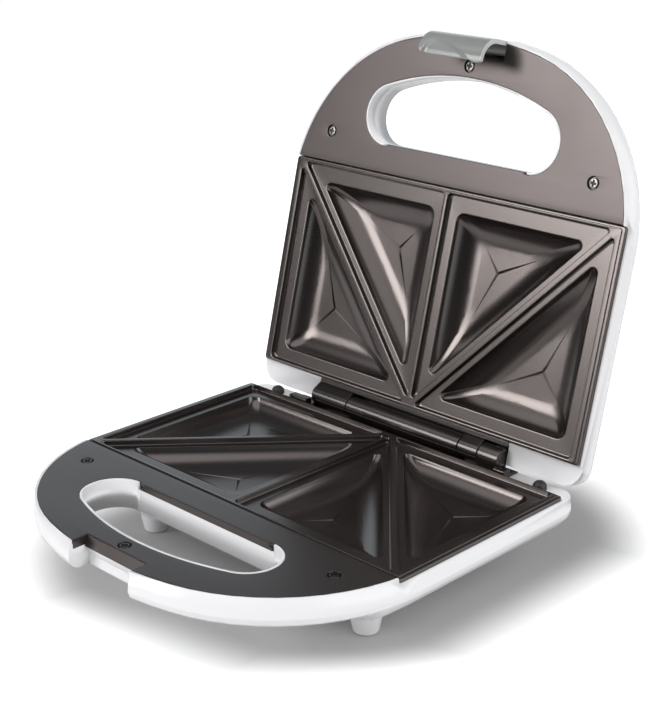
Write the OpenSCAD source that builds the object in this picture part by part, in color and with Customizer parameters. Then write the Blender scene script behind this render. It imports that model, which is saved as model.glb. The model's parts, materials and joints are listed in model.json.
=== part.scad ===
// Hinged sandwich toaster, shown open. Millimetres, Z up, X to the right seen from the handles,
// Y towards the hinge. The origin is under the middle of the open toaster, on the table.
// Each half is drawn with its rim in the plane z = 0, its body below, and y = 0 at the front
// edge of its cooking plate. The upper half is the mirror of the lower one, swung open.

/* [Body] */
// Width that each casing adds on either side of the cooking plate
side_reach = 1.9; // [1.7:0.1:4]
// Depth of each casing below its rim
body_depth = 36; // [33:0.5:42]
// Distance that the casings reach behind the cooking plate
rear_reach = 12.5; // [12:0.1:14]
// Wall thickness of the casings
wall = 2.4; // [1.8:0.1:3]
// Corner radius at the back of the casings
rear_corner_r = 11; // [6:0.5:16]

/* [Handle] */
// Reach of the handle in front of the cooking plate, at its widest section
handle_reach = 77.8; // [72:0.2:86]
// Thickness of each half of the handle
handle_depth = 15; // [14:0.5:18]
// Radius of the front bow of the handle
bow_r = 174; // [150:1:220]
// Half angle of the front bow
bow_a = 13.9; // [10:0.1:18]
// Width of the hand opening
opening_w = 123; // [100:1:128]
// Depth of the hand opening from front to back
opening_d = 39.2; // [32:0.2:42]
// Distance from the cooking plate to the hand opening
opening_back = 15.2; // [13:0.1:18]
// Radius of the ends of the hand opening
opening_r = 15.2; // [12:0.1:16]
// Thickness of the handle covers
cover_t = 2; // [1.6:0.1:2]

/* [Cooking plates] */
// Width of the cooking plate
plate_w = 215; // [206:0.5:228]
// Depth of the cooking plate from handle to hinge
plate_d = 115.5; // [108:0.5:125]
// Thickness of the plate's edge
plate_edge = 2.5; // [2:0.1:2.5]
// Depth of the flat lands below the rim
land_drop = 2.6; // [1.5:0.1:3]
// Depth of the pockets below the rim
pocket_drop = 11; // [9:0.5:12]
// Width of the land along the front and the back of the pockets
land_w = 8.8; // [8:0.1:11]
// Width of the land along the middle ridge
middle_land = 6.3; // [5:0.1:9]
// Width of the land along the outer side of the pockets
side_land = 7.1; // [5:0.1:8]
// Width of the land along the slanted ridge
ridge_land = 3.7; // [3:0.1:6]
// Width of the ridges between the compartments
ridge_w = 2.4; // [1.6:0.1:3]
// Width of the raised rim at the sides
side_rim = 4.8; // [3.5:0.1:6]
// Width of the raised rim at the front and back
end_rim = 2.3; // [1.8:0.1:3]

/* [Hinge] */
// Angle that the lid is open
open_angle = 103.8; // [95:0.1:104]
// Distance from the plate's back edge to the hinge axis
hinge_back = 9.5; // [9:0.1:10]
// Height of the hinge axis above the lower rim
hinge_rise = 2; // [1.5:0.1:2.5]
// Outside radius of the hinge barrels
barrel_r = 5.2; // [4.6:0.1:5.4]
// Radius of the hinge pins
pin_r = 2; // [1.6:0.1:2.4]
// Half length of the middle barrel
middle_half = 38.4; // [30:0.2:44]
// Length of each lid knuckle
knuckle_len = 12.5; // [10:0.5:14]
// Gap between the two rims when the lid is shut
shut_gap = 0.5; // [0.4:0.1:1]

/* [Latch] */
// Width of the latch
latch_w = 39.8; // [32:0.2:44]
// Reach of the latch hook past the lid's rim
hook_reach = 13.7; // [12.5:0.1:13.8]
// Thickness of the latch
latch_t = 2.2; // [1.8:0.1:2.4]
// Radius of the latch pin
latch_pin_r = 1.25; // [1:0.05:1.5]

/* [Feet and inlet] */
// Height from the table to the lower rim
rim_height = 45.1; // [42:0.1:52]
// Distance of each foot from the middle line
foot_x = 73.7; // [60:0.1:76]
// Distance of the front feet behind the plate's front edge
front_foot_y = 16.2; // [15:0.1:24]
// Distance of the back feet behind the plate's front edge
back_foot_y = 110; // [100:0.5:112]
// Radius of the cord hole in the gland
cord_r = 3.3; // [2.8:0.1:3.6]

/* [Hidden] */

$fn = 48;
eps = 0.01;
half_w = plate_w / 2 + side_reach;
back_y = plate_d + rear_reach;
hinge_y = plate_d + hinge_back;
seat_gap = 0.2;
// Half of a cut that reaches past everything it meets
far = 300;

// Casing outline: a front bow, two shoulders tangent to it, straight sides and round back corners
sin_a = sin(bow_a);
cos_a = cos(bow_a);
shoulder_r = (half_w - bow_r * sin_a) / (1 - sin_a);
bow_cy = bow_r - handle_reach;
shoulder_x = (bow_r - shoulder_r) * sin_a;
shoulder_y = bow_cy - (bow_r - shoulder_r) * cos_a;
rim_inset = 1;
lip_t = 1;
cover_inset = rim_inset + lip_t + seat_gap;

// Depth at which both casings are widest
widest_drop = 9.5;
// How far the handle's block runs in under the plate
handle_root = 4;

// Depth, side inset, front edge and back inset of each level of the casing under the plate
body_drop = body_depth - widest_drop;
body_levels = [
  [0, rim_inset, -14, 0.6],
  [-widest_drop, 0, -14, 0],
  [-widest_drop - 2.5, 0.8, -13.6, 0],
  [-widest_drop - 5, 2.6, -12.8, 0],
  [-widest_drop - 0.40 * body_drop, 8.2, -7, 0],
  [-widest_drop - 0.62 * body_drop, 15.5, -0.5, 0],
  [-widest_drop - 0.83 * body_drop, 25.5, 5.5, 3],
  [-widest_drop - 0.955 * body_drop, 36, 10, 8.5],
  [-body_depth, 44, 15, 13]
];
// Depth and inset of each level of the handle
handle_levels = [
  [0, rim_inset],
  [-widest_drop, 0],
  [-widest_drop - 2.7, 0.9],
  [1 - handle_depth, 2.9],
  [-handle_depth, 5.8]
];

// Hand opening: a flat back, two round ends and a front bow tangent to them
end_x = opening_w / 2 - opening_r;
end_y = -opening_back - opening_r;
end_k = opening_d - opening_r;
open_bow_r = (end_x * end_x + end_k * end_k - opening_r * opening_r) / (2 * (end_k - opening_r));
open_bow_y = -opening_back - opening_d + open_bow_r;
end_a = atan2(end_y - open_bow_y, end_x);
lining_t = 2.2;
flat_half = 47;
lip_drop = 3.8;

// Cover screws: two at the sides and one in front of the opening
screw_side = [85.2, -16.4];
screw_mid_y = -61.2;
screw_at = [[-screw_side[0], screw_side[1]], [0, screw_mid_y], [screw_side[0], screw_side[1]]];
screw_head_r = 2.7;
screw_head_h = 1.4;
shank_r = 1.4;
screw_reach = 8;
// Radial gap round a screw's shank or a pin
fit_gap = 0.05;
cover_boss_h = 1.4;
boss_r = 4.2;

// Latch recess in the front of both halves
recess_half = latch_w / 2 + 0.6;
recess_back = -65.6;
recess_wall = 2.8;
flange_drop = 5.5;
flange_t = 1.4;
latch_pivot = [-71.5, -5.5];
latch_face = -75.6;
latch_low = -12;
latch_barrel_r = 3.2;
hook_r = 8.2;
hook_tip_y = -66.3;
catch_top = shut_gap - hook_reach + latch_t + 1.3;
catch_low = -handle_depth + 0.4;

// Hinge notch in the back of both halves
notch_half = 65;
notch_front = plate_d + 2.1;
notch_drop = 11;
notch_wall = 1.8;
deck_drop = 3.5;
deck_t = 2;
ear_from = middle_half + knuckle_len + 1;
ear_to = notch_half - 2 * seat_gap;
pin_head_r = pin_r + 1.3;
pin_head_t = 1.6;
knuckle_from = middle_half + 0.5;
bracket_front = notch_front + 0.4;
bracket_back = back_y - 0.4;
base_screw_x = ear_from - 6.5;
lid_screw_x = ear_to - 6;
hinge_screw_y = hinge_y - 2.2;
lid_axis_z = shut_gap - hinge_rise;

// Cooking plate
plate_half = plate_w / 2;
plate_front = 0.4;
comp_x = plate_half - side_rim;
comp_front = plate_front + end_rim;
comp_back = plate_d - end_rim;
diag_w = ridge_w * 1.3;
// Corner radii of the compartments and the pockets, at their right angle and at their points
comp_square_r = 2.5;
comp_point_r = 1.2;
pocket_square_r = 5;
pocket_point_r = 2.6;
// The three creases in each pocket's floor
crease_inset = 12.5;
crease_half = 0.8;
crease_drop = 0.5;
skin = 2.4;
bowl_grow = 1.4;
land_under = -land_drop - skin;

// Heating element: a tube round the edge of the plate
tube_r = 3.1;
tube_x = comp_x - side_land + bowl_grow + 0.5 + tube_r;
tube_front = 5.8;
tube_back = plate_d - 6.1;
tube_bend = 10;
tube_end = 24;
tube_z = land_under - tube_r;

// Reflector tray
tray_t = 0.8;
tray_edge_z = tube_z - tube_r;
tray_z = -pocket_drop - skin - 0.2;
lug_r = 3.6;
lug_y = [15, plate_d * 0.52, plate_d - 14.5];

// Feet and inlet
foot_sink = 3;
foot_edge_r = 1.6;
foot_top_r = 7.2;
foot_low_r = 5;
pad_r = 3.4;
pad_h = 1.6;
pad_out = 0.4;
foot_at = [[foot_x, front_foot_y], [foot_x - 11.7, back_foot_y]];
gland_z = -19.4;
gland_r = 5.4;
gland_flange_t = 1.6;
gland_reach = 14;

// Depth of the open toaster, which sets the origin
function swung_y(y, z) = hinge_y + (y - hinge_y) * cos(open_angle) + (z - hinge_rise) * sin(open_angle);
open_back = max([for (level = handle_levels) swung_y(level[1] - handle_reach, shut_gap - level[0])]);
origin_y = (open_back - handle_reach) / 2;

function arc_pts(cx, cy, r, a0, a1, n, first = 0) =
  [for (i = [first:n]) let (a = a0 + (a1 - a0) * i / n) [cx + r * cos(a), cy + r * sin(a)]];

function casing_pts(d, dr) =
  let (rc = max(rear_corner_r - d / 2, 3), cx = half_w - d - rc, cy = back_y - dr - rc)
  concat(
    arc_pts(0, bow_cy, bow_r - d, -90 - bow_a, -90 + bow_a, 8),
    arc_pts(shoulder_x, shoulder_y, shoulder_r - d, bow_a - 90, 0, 12, 1),
    arc_pts(cx, cy, rc, 0, 90, 6),
    arc_pts(-cx, cy, rc, 90, 180, 6),
    arc_pts(-shoulder_x, shoulder_y, shoulder_r - d, 180, 270 - bow_a - (90 - bow_a) / 12, 11)
  );

function opening_pts(e) = concat(
  arc_pts(end_x, end_y, opening_r + e, end_a, 90, 16),
  arc_pts(-end_x, end_y, opening_r + e, 90, 180 - end_a, 16),
  arc_pts(0, open_bow_y, open_bow_r + e, 180 - end_a, 360 + end_a, 12, 1)
);

// Triangle with each side moved in by its own distance
function inset_tri(v, d) =
  [for (i = [0:2]) let (
      p = v[(i + 2) % 3],
      q = v[i],
      s = v[(i + 1) % 3],
      u = (q - p) / norm(q - p),
      w = (s - q) / norm(s - q)
    ) q + (d[(i + 2) % 3] * w - d[i] * u) / (u[0] * w[1] - u[1] * w[0])];

// Points of a triangle with its sides moved in by d and each corner rounded by its own radius
function tri_pts(v, d, r, n = 6) =
  let (mid = tri_mid(v), rho = tri_rho(v))
  [for (i = [0:2]) let (
      p = v[(i + 2) % 3],
      q = v[i],
      s = v[(i + 1) % 3],
      a0 = atan2(q[1] - p[1], q[0] - p[0]) - 90,
      turn = (atan2(s[1] - q[1], s[0] - q[0]) - 90 - a0 + 720) % 360,
      c = q + (mid - q) * (d + r[i]) / rho
    ) each [for (j = [0:n]) c + r[i] * [cos(a0 + turn * j / n), sin(a0 + turn * j / n)]]];

// Radii of a triangle's three corners, of which one is the right angle
function corner_radii(square_at, square_r, point_r) = [for (i = [0:2]) i == square_at ? square_r : point_r];

// Centre of the circle inside a triangle, and that circle's radius
function tri_mid(v) =
  let (la = norm(v[2] - v[1]), lb = norm(v[0] - v[2]), lc = norm(v[1] - v[0]))
  (la * v[0] + lb * v[1] + lc * v[2]) / (la + lb + lc);
function tri_rho(v) =
  abs((v[1][0] - v[0][0]) * (v[2][1] - v[0][1]) - (v[2][0] - v[0][0]) * (v[1][1] - v[0][1]))
  / (norm(v[2] - v[1]) + norm(v[0] - v[2]) + norm(v[1] - v[0]));

// Star of three tapering arms that run from the middle of a pocket towards its corners
function crease_pts(v) =
  let (mid = tri_mid(v), k = 1 - crease_inset / tri_rho(v))
  [for (i = [0:2]) let (
      arm = v[i] - mid,
      next = v[(i + 1) % 3] - mid,
      between = arm / norm(arm) + next / norm(next)
    ) each [mid + arm * k, mid + between / norm(between) * crease_half]];

// The two compartments on the right of the middle ridge
diag_low = [comp_x, comp_front];
diag_high = [ridge_w / 2, comp_back];
diag_dir = (diag_high - diag_low) / norm(diag_high - diag_low);
diag_shift_x = diag_w / 2 / abs(diag_dir[1]);
diag_shift_y = diag_w / 2 / abs(diag_dir[0]);
front_tri = [
  [ridge_w / 2, comp_front],
  [comp_x - diag_shift_x, comp_front],
  [ridge_w / 2, comp_back - diag_shift_y]
];
back_tri = [
  [comp_x, comp_front + diag_shift_y],
  [comp_x, comp_back],
  [ridge_w / 2 + diag_shift_x, comp_back]
];
// Each compartment: its outline, its pocket and the corner that is a right angle
compartments = [
  [front_tri, inset_tri(front_tri, [land_w, ridge_land, middle_land]), 0],
  [back_tri, inset_tri(back_tri, [side_land, land_w, ridge_land]), 1]
];

module lower_half() {
  translate([0, -origin_y, rim_height]) children();
}

// Swings a part that is drawn like the lower half into the open lid
module upper_half() {
  lower_half()
    translate([0, hinge_y, hinge_rise])
      rotate([-open_angle, 0, 0])
        translate([0, -hinge_y, shut_gap - hinge_rise])
          mirror([0, 0, 1])
            children();
}

module box(x0, x1, y0, y1, z0, z1) {
  translate([x0, y0, z0]) cube([x1 - x0, y1 - y0, z1 - z0]);
}

module x_rod(x0, x1, y, z, r) {
  translate([x0, y, z]) rotate([0, 90, 0]) cylinder(h = x1 - x0, r = r);
}

module both_sides() {
  children();
  mirror([1, 0, 0]) children();
}

module casing_level(d, dr, front, back) {
  intersection() {
    polygon(casing_pts(d, dr));
    translate([-far, front]) square([2 * far, back - front]);
  }
}

// Solid of the casing under the plate; off moves every face inwards for the hollow
module body_block(off) {
  hull()
    for (level = body_levels)
      translate([0, 0, level[0] + off])
        linear_extrude(eps)
          casing_level(level[1] + off, level[3] + off, level[2] + off, far);
}

module handle_block(off) {
  hull()
    for (level = handle_levels)
      translate([0, 0, level[0] + off])
        linear_extrude(eps)
          casing_level(level[1] + off, 0, -far, handle_root - off);
}

module opening_prism(e, z0, z1) {
  translate([0, 0, z0]) linear_extrude(z1 - z0) polygon(opening_pts(e));
}

module shell_bosses() {
  for (p = screw_at)
    translate([p[0], p[1], 1 - handle_depth])
      cylinder(h = handle_depth - 1 - cover_t - cover_boss_h, r = boss_r);
}

module recess_block() {
  intersection() {
    box(-recess_half - 2, recess_half + 2, -far, recess_back + recess_wall, -handle_depth + 0.5, 0);
    handle_block(0);
  }
}

module notch_block() {
  box(-notch_half - 2, notch_half + 2, notch_front - notch_wall, back_y - 1, -notch_drop - 2, -deck_drop);
}

// The casing that both halves share, drawn as the lower one
module half_casing(hinge_screw_x) {
  difference() {
    union() {
      difference() {
        union() {
          body_block(0);
          handle_block(0);
        }
        body_block(wall);
        handle_block(wall);
        translate([0, 0, wall - widest_drop])
          linear_extrude(body_depth)
            casing_level(wall + rim_inset, wall, -far, far);
      }
      opening_prism(lining_t, -handle_depth, 0);
      translate([0, 0, -deck_drop - deck_t])
        linear_extrude(deck_t) casing_level(rim_inset, 0.6, plate_d + 0.3, far);
      recess_block();
      notch_block();
      shell_bosses();
    }
    // Hand opening, with room for the cover's lip along its flat side
    opening_prism(0, -body_depth, far);
    box(-flat_half, flat_half, -opening_back - 0.1, 0.4 - opening_back + lining_t, -lip_drop, far);
    // Seat of the handle cover
    difference() {
      translate([0, 0, -cover_t]) linear_extrude(far) casing_level(rim_inset + lip_t, 0, -far, 0);
      opening_prism(lip_t, -body_depth, 2 * far);
    }
    // Lower rim along the plate and behind it
    box(-far, far, 0, far, -plate_edge, far);
    box(-far, far, plate_d + 0.3, far, -deck_drop, far);
    // Latch recess
    box(-recess_half, recess_half, -far, recess_back, -body_depth, far);
    box(-recess_half, recess_half, -far, recess_back + flange_t, -flange_drop, far);
    // Hinge notch
    box(-notch_half, notch_half, notch_front, far, -notch_drop, far);
    // Seats of the cover's bosses, pilot holes of the cover screws and of the hinge screws
    for (p = screw_at) {
      translate([p[0], p[1], -cover_t - cover_boss_h]) cylinder(h = far, r = boss_r + seat_gap);
      translate([p[0], p[1], 2.5 - handle_depth]) cylinder(h = far, r = shank_r + fit_gap);
    }
    for (s = [-1, 1])
      translate([s * hinge_screw_x, hinge_screw_y, -notch_drop - 9])
        cylinder(h = far, r = shank_r + fit_gap);
  }
}

module foot(p) {
  translate([p[0], p[1], 0])
    rotate_extrude($fn = 40)
      polygon(concat(
        [[0, foot_sink - body_depth], [foot_top_r, foot_sink - body_depth], [foot_top_r, -body_depth]],
        arc_pts(foot_low_r - foot_edge_r, pad_out + foot_edge_r - rim_height, foot_edge_r, 0, -90, 5),
        [[0, pad_out - rim_height]]
      ));
}

module base_shell() {
  color("white")
    lower_half()
      difference() {
        union() {
          half_casing(base_screw_x);
          both_sides()
            for (p = foot_at)
              foot(p);
        }
        // Pad seats in the feet
        both_sides()
          for (p = foot_at)
            translate([p[0], p[1], -rim_height]) cylinder(h = pad_h, r = pad_r);
        // Catch for the latch hook
        box(0.6 - recess_half, recess_half - 0.6, -far, recess_back + recess_wall + 1,
          catch_low, catch_top);
        // Hole of the cord gland
        translate([0, back_y - 2 * wall, gland_z])
          rotate([-90, 0, 0]) cylinder(h = 4 * wall, r = gland_r - 1);
      }
}

// Two lamps shine through two lenses in the lid
lens_x = 12;
lens_y = 34;
lens_r = 3.2;
lens_flange_t = 0.8;
holder_rim = 6;
holder_d = 10;
holder_h = 8;
lamp_r = 2.6;
lamp_h = 8;

module lid_shell() {
  color("white")
    upper_half()
      difference() {
        half_casing(lid_screw_x);
        // Holes of the latch pin
        x_rod(-recess_half - 5, recess_half + 5, latch_pivot[0], latch_pivot[1], latch_pin_r + 0.03);
        // Holes of the lamp lenses
        for (s = [-1, 1])
          translate([s * lens_x, lens_y, -2 * body_depth]) cylinder(h = 1.5 * body_depth, r = lens_r);
      }
}

module handle_cover() {
  difference() {
    union() {
      translate([0, 0, -cover_t])
        linear_extrude(cover_t)
          difference() {
            casing_level(cover_inset, 0, -far, -seat_gap);
            difference() {
              polygon(opening_pts(lip_t + seat_gap));
              translate([0.6 - flat_half, -opening_back]) square([2 * flat_half - 1.2, 10]);
            }
          }
      for (p = screw_at)
        translate([p[0], p[1], -cover_t - cover_boss_h]) cylinder(h = cover_boss_h + 1, r = boss_r);
      // Lip over the flat side of the opening
      box(0.6 - flat_half, flat_half - 0.6, -opening_back, 1.6 - opening_back, seat_gap - lip_drop, 0);
      // Flanges down the back and the sides of the latch recess
      box(-recess_half, recess_half, recess_back, recess_back + flange_t - seat_gap,
        seat_gap - flange_drop, 0);
    }
    box(-recess_half, recess_half, -far, recess_back, -body_depth, far);
    for (p = screw_at) {
      translate([p[0], p[1], -body_depth]) cylinder(h = 2 * body_depth, r = shank_r + seat_gap);
      translate([p[0], p[1], -screw_head_h]) cylinder(h = far, r = screw_head_r + 0.3);
    }
  }
}

module cross_screw(head_r, head_h, length) {
  difference() {
    union() {
      cylinder(h = head_h, r = head_r);
      translate([0, 0, -length]) cylinder(h = length + eps, r = shank_r);
    }
    for (a = [0, 90])
      rotate([0, 0, a]) translate([-head_r * 0.65, -0.45, head_h - 0.9]) cube([head_r * 1.3, 0.9, 2]);
  }
}

module cover_screws() {
  for (p = screw_at)
    translate([p[0], p[1], -screw_head_h])
      rotate([0, 0, 20]) cross_screw(screw_head_r, screw_head_h - 0.2, screw_reach);
}

module base_handle_cover() {
  color("dimgray") lower_half() handle_cover();
}

module lid_handle_cover() {
  color("dimgray") upper_half() handle_cover();
}

module base_cover_screws() {
  color("silver") lower_half() cover_screws();
}

module lid_cover_screws() {
  color("silver") upper_half() cover_screws();
}

pocket_drop_below = pocket_drop - land_drop;
// Inset and share of the depth at each level of a pocket wall
pocket_levels = [[0, 0], [0.7, 0.22], [1.9, 0.46], [4.2, 0.7], [7.6, 0.88], [11.5, 0.98], [14, 1]];

module pocket(tri, radii) {
  hull()
    for (level = pocket_levels)
      translate([0, 0, -land_drop - level[1] * pocket_drop_below])
        linear_extrude(level[1] == 0 ? 1 : eps)
          polygon(tri_pts(tri, level[0], radii));
}

// Cooking plate, drawn as the lower one
module cooking_plate() {
  difference() {
    union() {
      box(-plate_half, plate_half, plate_front, plate_d, -plate_edge, 0);
      box(-comp_x - 1.5, comp_x + 1.5, plate_front + 1, plate_d - 1, land_under, -1);
      both_sides()
        for (part = compartments)
          translate([0, 0, -pocket_drop - skin])
            linear_extrude(pocket_drop + skin - land_drop - 1)
              polygon(tri_pts(part[1], -bowl_grow,
                corner_radii(part[2], pocket_square_r + bowl_grow, pocket_point_r + bowl_grow)));
      // Tongues under the handle cover and hooks under the deck behind
      both_sides() {
        box(56, 74, -6, plate_front + 3, land_under, -cover_t);
        box(76, 94, plate_d - 3, plate_d + 3.5, -deck_drop - deck_t - 2, -deck_drop - deck_t);
        box(76, 94, plate_d - 3, plate_d - 1, -deck_drop - deck_t - 2, -2);
      }
      for (y = lug_y)
        translate([0, y, tray_z]) cylinder(h = -tray_z - land_drop - 1, r = lug_r);
    }
    both_sides()
      for (part = compartments) {
        translate([0, 0, -land_drop])
          linear_extrude(far)
            polygon(tri_pts(part[0], 0, corner_radii(part[2], comp_square_r, comp_point_r)));
        pocket(part[1], corner_radii(part[2], pocket_square_r, pocket_point_r));
        translate([0, 0, -pocket_drop - crease_drop])
          linear_extrude(2 * crease_drop) polygon(crease_pts(part[1]));
      }
    for (y = lug_y)
      translate([0, y, tray_z - 1]) cylinder(h = screw_reach, r = shank_r + fit_gap);
  }
}

module lower_plate() {
  color("#2f2b2a") lower_half() cooking_plate();
}

module upper_plate() {
  color("#2f2b2a") upper_half() cooking_plate();
}

module tube_bend_at(x, y, turn) {
  translate([x, y, tube_z])
    rotate([0, 0, turn])
      rotate_extrude(angle = 90) translate([tube_bend, 0]) circle(r = tube_r);
}

module heating_element() {
  both_sides() {
    x_rod(-eps, tube_x - tube_bend, tube_front, tube_z, tube_r);
    tube_bend_at(tube_x - tube_bend, tube_front + tube_bend, -90);
    translate([tube_x, tube_front + tube_bend, tube_z])
      rotate([-90, 0, 0]) cylinder(h = tube_back - tube_front - 2 * tube_bend, r = tube_r);
    tube_bend_at(tube_x - tube_bend, tube_back - tube_bend, 0);
    x_rod(tube_end, tube_x - tube_bend, tube_back, tube_z, tube_r);
    // Cold pin and its flat tab
    x_rod(tube_end - 7, tube_end + eps, tube_back, tube_z, 1.2);
    box(tube_end - 14, tube_end - 6, tube_back - 0.4, tube_back + 0.4, tube_z - 3, tube_z + 3);
  }
}

module lower_heating_element() {
  color("gray") lower_half() heating_element();
}

module upper_heating_element() {
  color("gray") upper_half() heating_element();
}

// Tray that presses the element against the plate and turns the heat towards it
module reflector(hole_y, hole_r) {
  difference() {
    union() {
      box(-tube_x - 1.5, tube_x + 1.5, tube_front - 3.2, tube_front + 3.2,
        tray_edge_z - tray_t, tray_edge_z);
      both_sides()
        box(tube_x - 3.2, tube_x + 1.5, tube_front - 3.2, tube_back, tray_edge_z - tray_t, tray_edge_z);
      box(3.2 - tube_x - 0.8, tube_x - 2.4, tube_front + 2.4, plate_d - 10, tray_z - tray_t, tray_z);
      // Step between the edge and the dish
      box(3.2 - tube_x - 0.8, tube_x - 2.4, tube_front + 2.4, tube_front + 3.2,
        tray_z - tray_t, tray_edge_z);
      both_sides()
        box(tube_x - 3.2, tube_x - 2.4, tube_front + 2.4, plate_d - 10, tray_z - tray_t, tray_edge_z);
    }
    for (y = lug_y)
      translate([0, y, -far]) cylinder(h = 2 * far, r = shank_r + seat_gap);
    translate([0, hole_y, -far]) cylinder(h = 2 * far, r = hole_r);
  }
}

// Bimetal thermostat: a disc against the plate, a smaller cap and two tabs
thermostat_y = 38;
thermostat_r = ridge_w / 2 + middle_land - bowl_grow - 0.4;
thermostat_h = 10;
cap_r = thermostat_r - 1.4;
cap_h = 5;
tab_half = 3;
tab_t = 0.8;

module lower_reflector() {
  color("lightgray") lower_half() reflector(thermostat_y, thermostat_r + 1.2);
}

module upper_reflector() {
  color("lightgray") upper_half() reflector(thermostat_y, thermostat_r + 1.2);
}

module reflector_screws() {
  for (y = lug_y)
    translate([0, y, tray_z - tray_t])
      mirror([0, 0, 1]) cross_screw(screw_head_r, screw_head_h, screw_reach - 2);
}

module lower_reflector_screws() {
  color("silver") lower_half() reflector_screws();
}

module upper_reflector_screws() {
  color("silver") upper_half() reflector_screws();
}

module thermostat() {
  color("ivory")
    lower_half()
      translate([0, thermostat_y, 0]) {
        translate([0, 0, land_under - thermostat_h]) cylinder(h = thermostat_h, r = thermostat_r);
        translate([0, 0, land_under - thermostat_h - cap_h]) cylinder(h = cap_h + eps, r = cap_r);
        for (s = [-1, 1])
          translate([s * (cap_r + tab_t), 0, 0])
            box(-tab_t / 2, tab_t / 2, -tab_half, tab_half, land_under - thermostat_h - cap_h - 2,
              land_under - thermostat_h + 0.5);
      }
}

floor_z = wall - body_depth;
block_y = 78;
block_half = 17;
block_d = 10;
block_h = 10;
pole_x = 11;
pole_r = 2;

module terminal_block() {
  color("ivory")
    lower_half()
      difference() {
        box(-block_half, block_half, block_y - block_d / 2, block_y + block_d / 2,
          floor_z, floor_z + block_h);
        for (x = [-pole_x, 0, pole_x]) {
          translate([x, block_y - block_d, wire_z])
            rotate([-90, 0, 0]) cylinder(h = 2 * block_d, r = pole_r);
          translate([x, block_y, wire_z]) cylinder(h = block_h, r = pole_r);
        }
      }
}

wire_r = 1.1;
wire_z = floor_z + block_h / 2;

// Wires from the terminal block to the thermostat and to the element's ends
module base_wiring() {
  color("saddlebrown")
    lower_half()
      for (s = [-1, 1]) {
        translate([s * pole_x, block_y - 1, wire_z])
          rotate([90, 0, 0]) cylinder(h = block_y - 4 - thermostat_y, r = wire_r);
        translate([s * pole_x, block_y + 1, wire_z])
          rotate([-90, 0, 0]) cylinder(h = tube_back - block_y - 1, r = wire_r);
        for (end = [[thermostat_y + 3, land_under - thermostat_h - 3], [tube_back, tube_z - tube_r]])
          translate([s * pole_x, end[0], wire_z]) {
            sphere(r = wire_r);
            cylinder(h = end[1] - wire_z, r = wire_r);
          }
      }
}

module cord_gland() {
  color("#202020")
    lower_half()
      translate([0, back_y, gland_z])
        rotate([-90, 0, 0])
          difference() {
            union() {
              translate([0, 0, -wall - 1 - gland_flange_t]) cylinder(h = gland_flange_t, r = gland_r);
              translate([0, 0, -wall - 1.2]) cylinder(h = wall + 2, r = gland_r - 1 - fit_gap);
              translate([0, 0, seat_gap]) cylinder(h = gland_flange_t, r = gland_r + 1);
              translate([0, 0, 1]) cylinder(h = gland_reach - 1, r1 = gland_r - 0.4, r2 = gland_r - 1.2);
            }
            translate([0, 0, -far]) cylinder(h = 2 * far, r = cord_r);
          }
}

// Bracket screwed into the base: middle barrel and an ear at each end
module base_hinge_bracket() {
  color("#1c1c1c")
    lower_half()
      difference() {
        union() {
          box(-ear_to, ear_to, bracket_front, bracket_back, -notch_drop, -barrel_r - 0.2);
          x_rod(-middle_half, middle_half, hinge_y, hinge_rise, barrel_r);
          box(-middle_half, middle_half, bracket_front + 2, bracket_back, -notch_drop, hinge_rise);
          both_sides() {
            x_rod(ear_from, ear_to, hinge_y, hinge_rise, barrel_r);
            box(ear_from, ear_to, bracket_front + 2, bracket_back, -notch_drop, hinge_rise);
          }
        }
        both_sides() {
          x_rod(middle_half - 10, far, hinge_y, hinge_rise, pin_r + 0.03);
          x_rod(ear_to - pin_head_t - seat_gap, far, hinge_y, hinge_rise, pin_head_r + seat_gap);
          translate([base_screw_x, hinge_screw_y, -body_depth])
            cylinder(h = 2 * body_depth, r = shank_r + seat_gap);
          translate([base_screw_x, hinge_screw_y, -barrel_r - 2])
            cylinder(h = far, r = screw_head_r + seat_gap);
        }
      }
}

module base_hinge_screws() {
  color("silver")
    lower_half()
      both_sides()
        translate([base_screw_x, hinge_screw_y, -barrel_r - 2])
          cross_screw(screw_head_r, screw_head_h, screw_reach);
}

module hinge_pins() {
  color("silver")
    lower_half()
      both_sides() {
        x_rod(middle_half - 9, ear_to - 0.4, hinge_y, hinge_rise, pin_r);
        x_rod(ear_to - pin_head_t - seat_gap, ear_to - seat_gap, hinge_y, hinge_rise, pin_head_r);
      }
}

// Bracket screwed into the lid: one knuckle on each side of the middle barrel
module lid_hinge_bracket() {
  color("#1c1c1c")
    upper_half()
      difference() {
        union() {
          box(-ear_to, ear_to, bracket_front, bracket_back, -notch_drop, lid_axis_z - barrel_r - 0.8);
          both_sides() {
            x_rod(knuckle_from, knuckle_from + knuckle_len - 0.2, hinge_y, lid_axis_z, barrel_r);
            box(knuckle_from, knuckle_from + knuckle_len - seat_gap, bracket_front + 1, hinge_y + 2,
              -notch_drop, lid_axis_z);
          }
        }
        both_sides() {
          x_rod(knuckle_from - 5, knuckle_from + knuckle_len + 5, hinge_y, lid_axis_z, pin_r + 0.06);
          translate([lid_screw_x, hinge_screw_y, -body_depth])
            cylinder(h = 2 * body_depth, r = shank_r + seat_gap);
          translate([lid_screw_x, hinge_screw_y, 1.2 - notch_drop])
            cylinder(h = far, r = screw_head_r + seat_gap);
        }
      }
}

module lid_hinge_screws() {
  color("silver")
    upper_half()
      both_sides()
        translate([lid_screw_x, hinge_screw_y, 1.2 - notch_drop])
          cross_screw(screw_head_r, screw_head_h, screw_reach);
}

// Rubber buttons on the deck behind the plate
buffer_x = 89.5;
buffer_r = 2.7;
buffer_h = 2.4;

module rear_buffers() {
  color("#181818")
    lower_half()
      both_sides()
        translate([buffer_x, plate_d + 5, -deck_drop]) {
          cylinder(h = buffer_h, r = buffer_r);
          translate([0, 0, buffer_h]) intersection() {
            sphere(r = buffer_r);
            cylinder(h = 2 * buffer_r, r = 2 * buffer_r);
          }
        }
}

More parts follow.
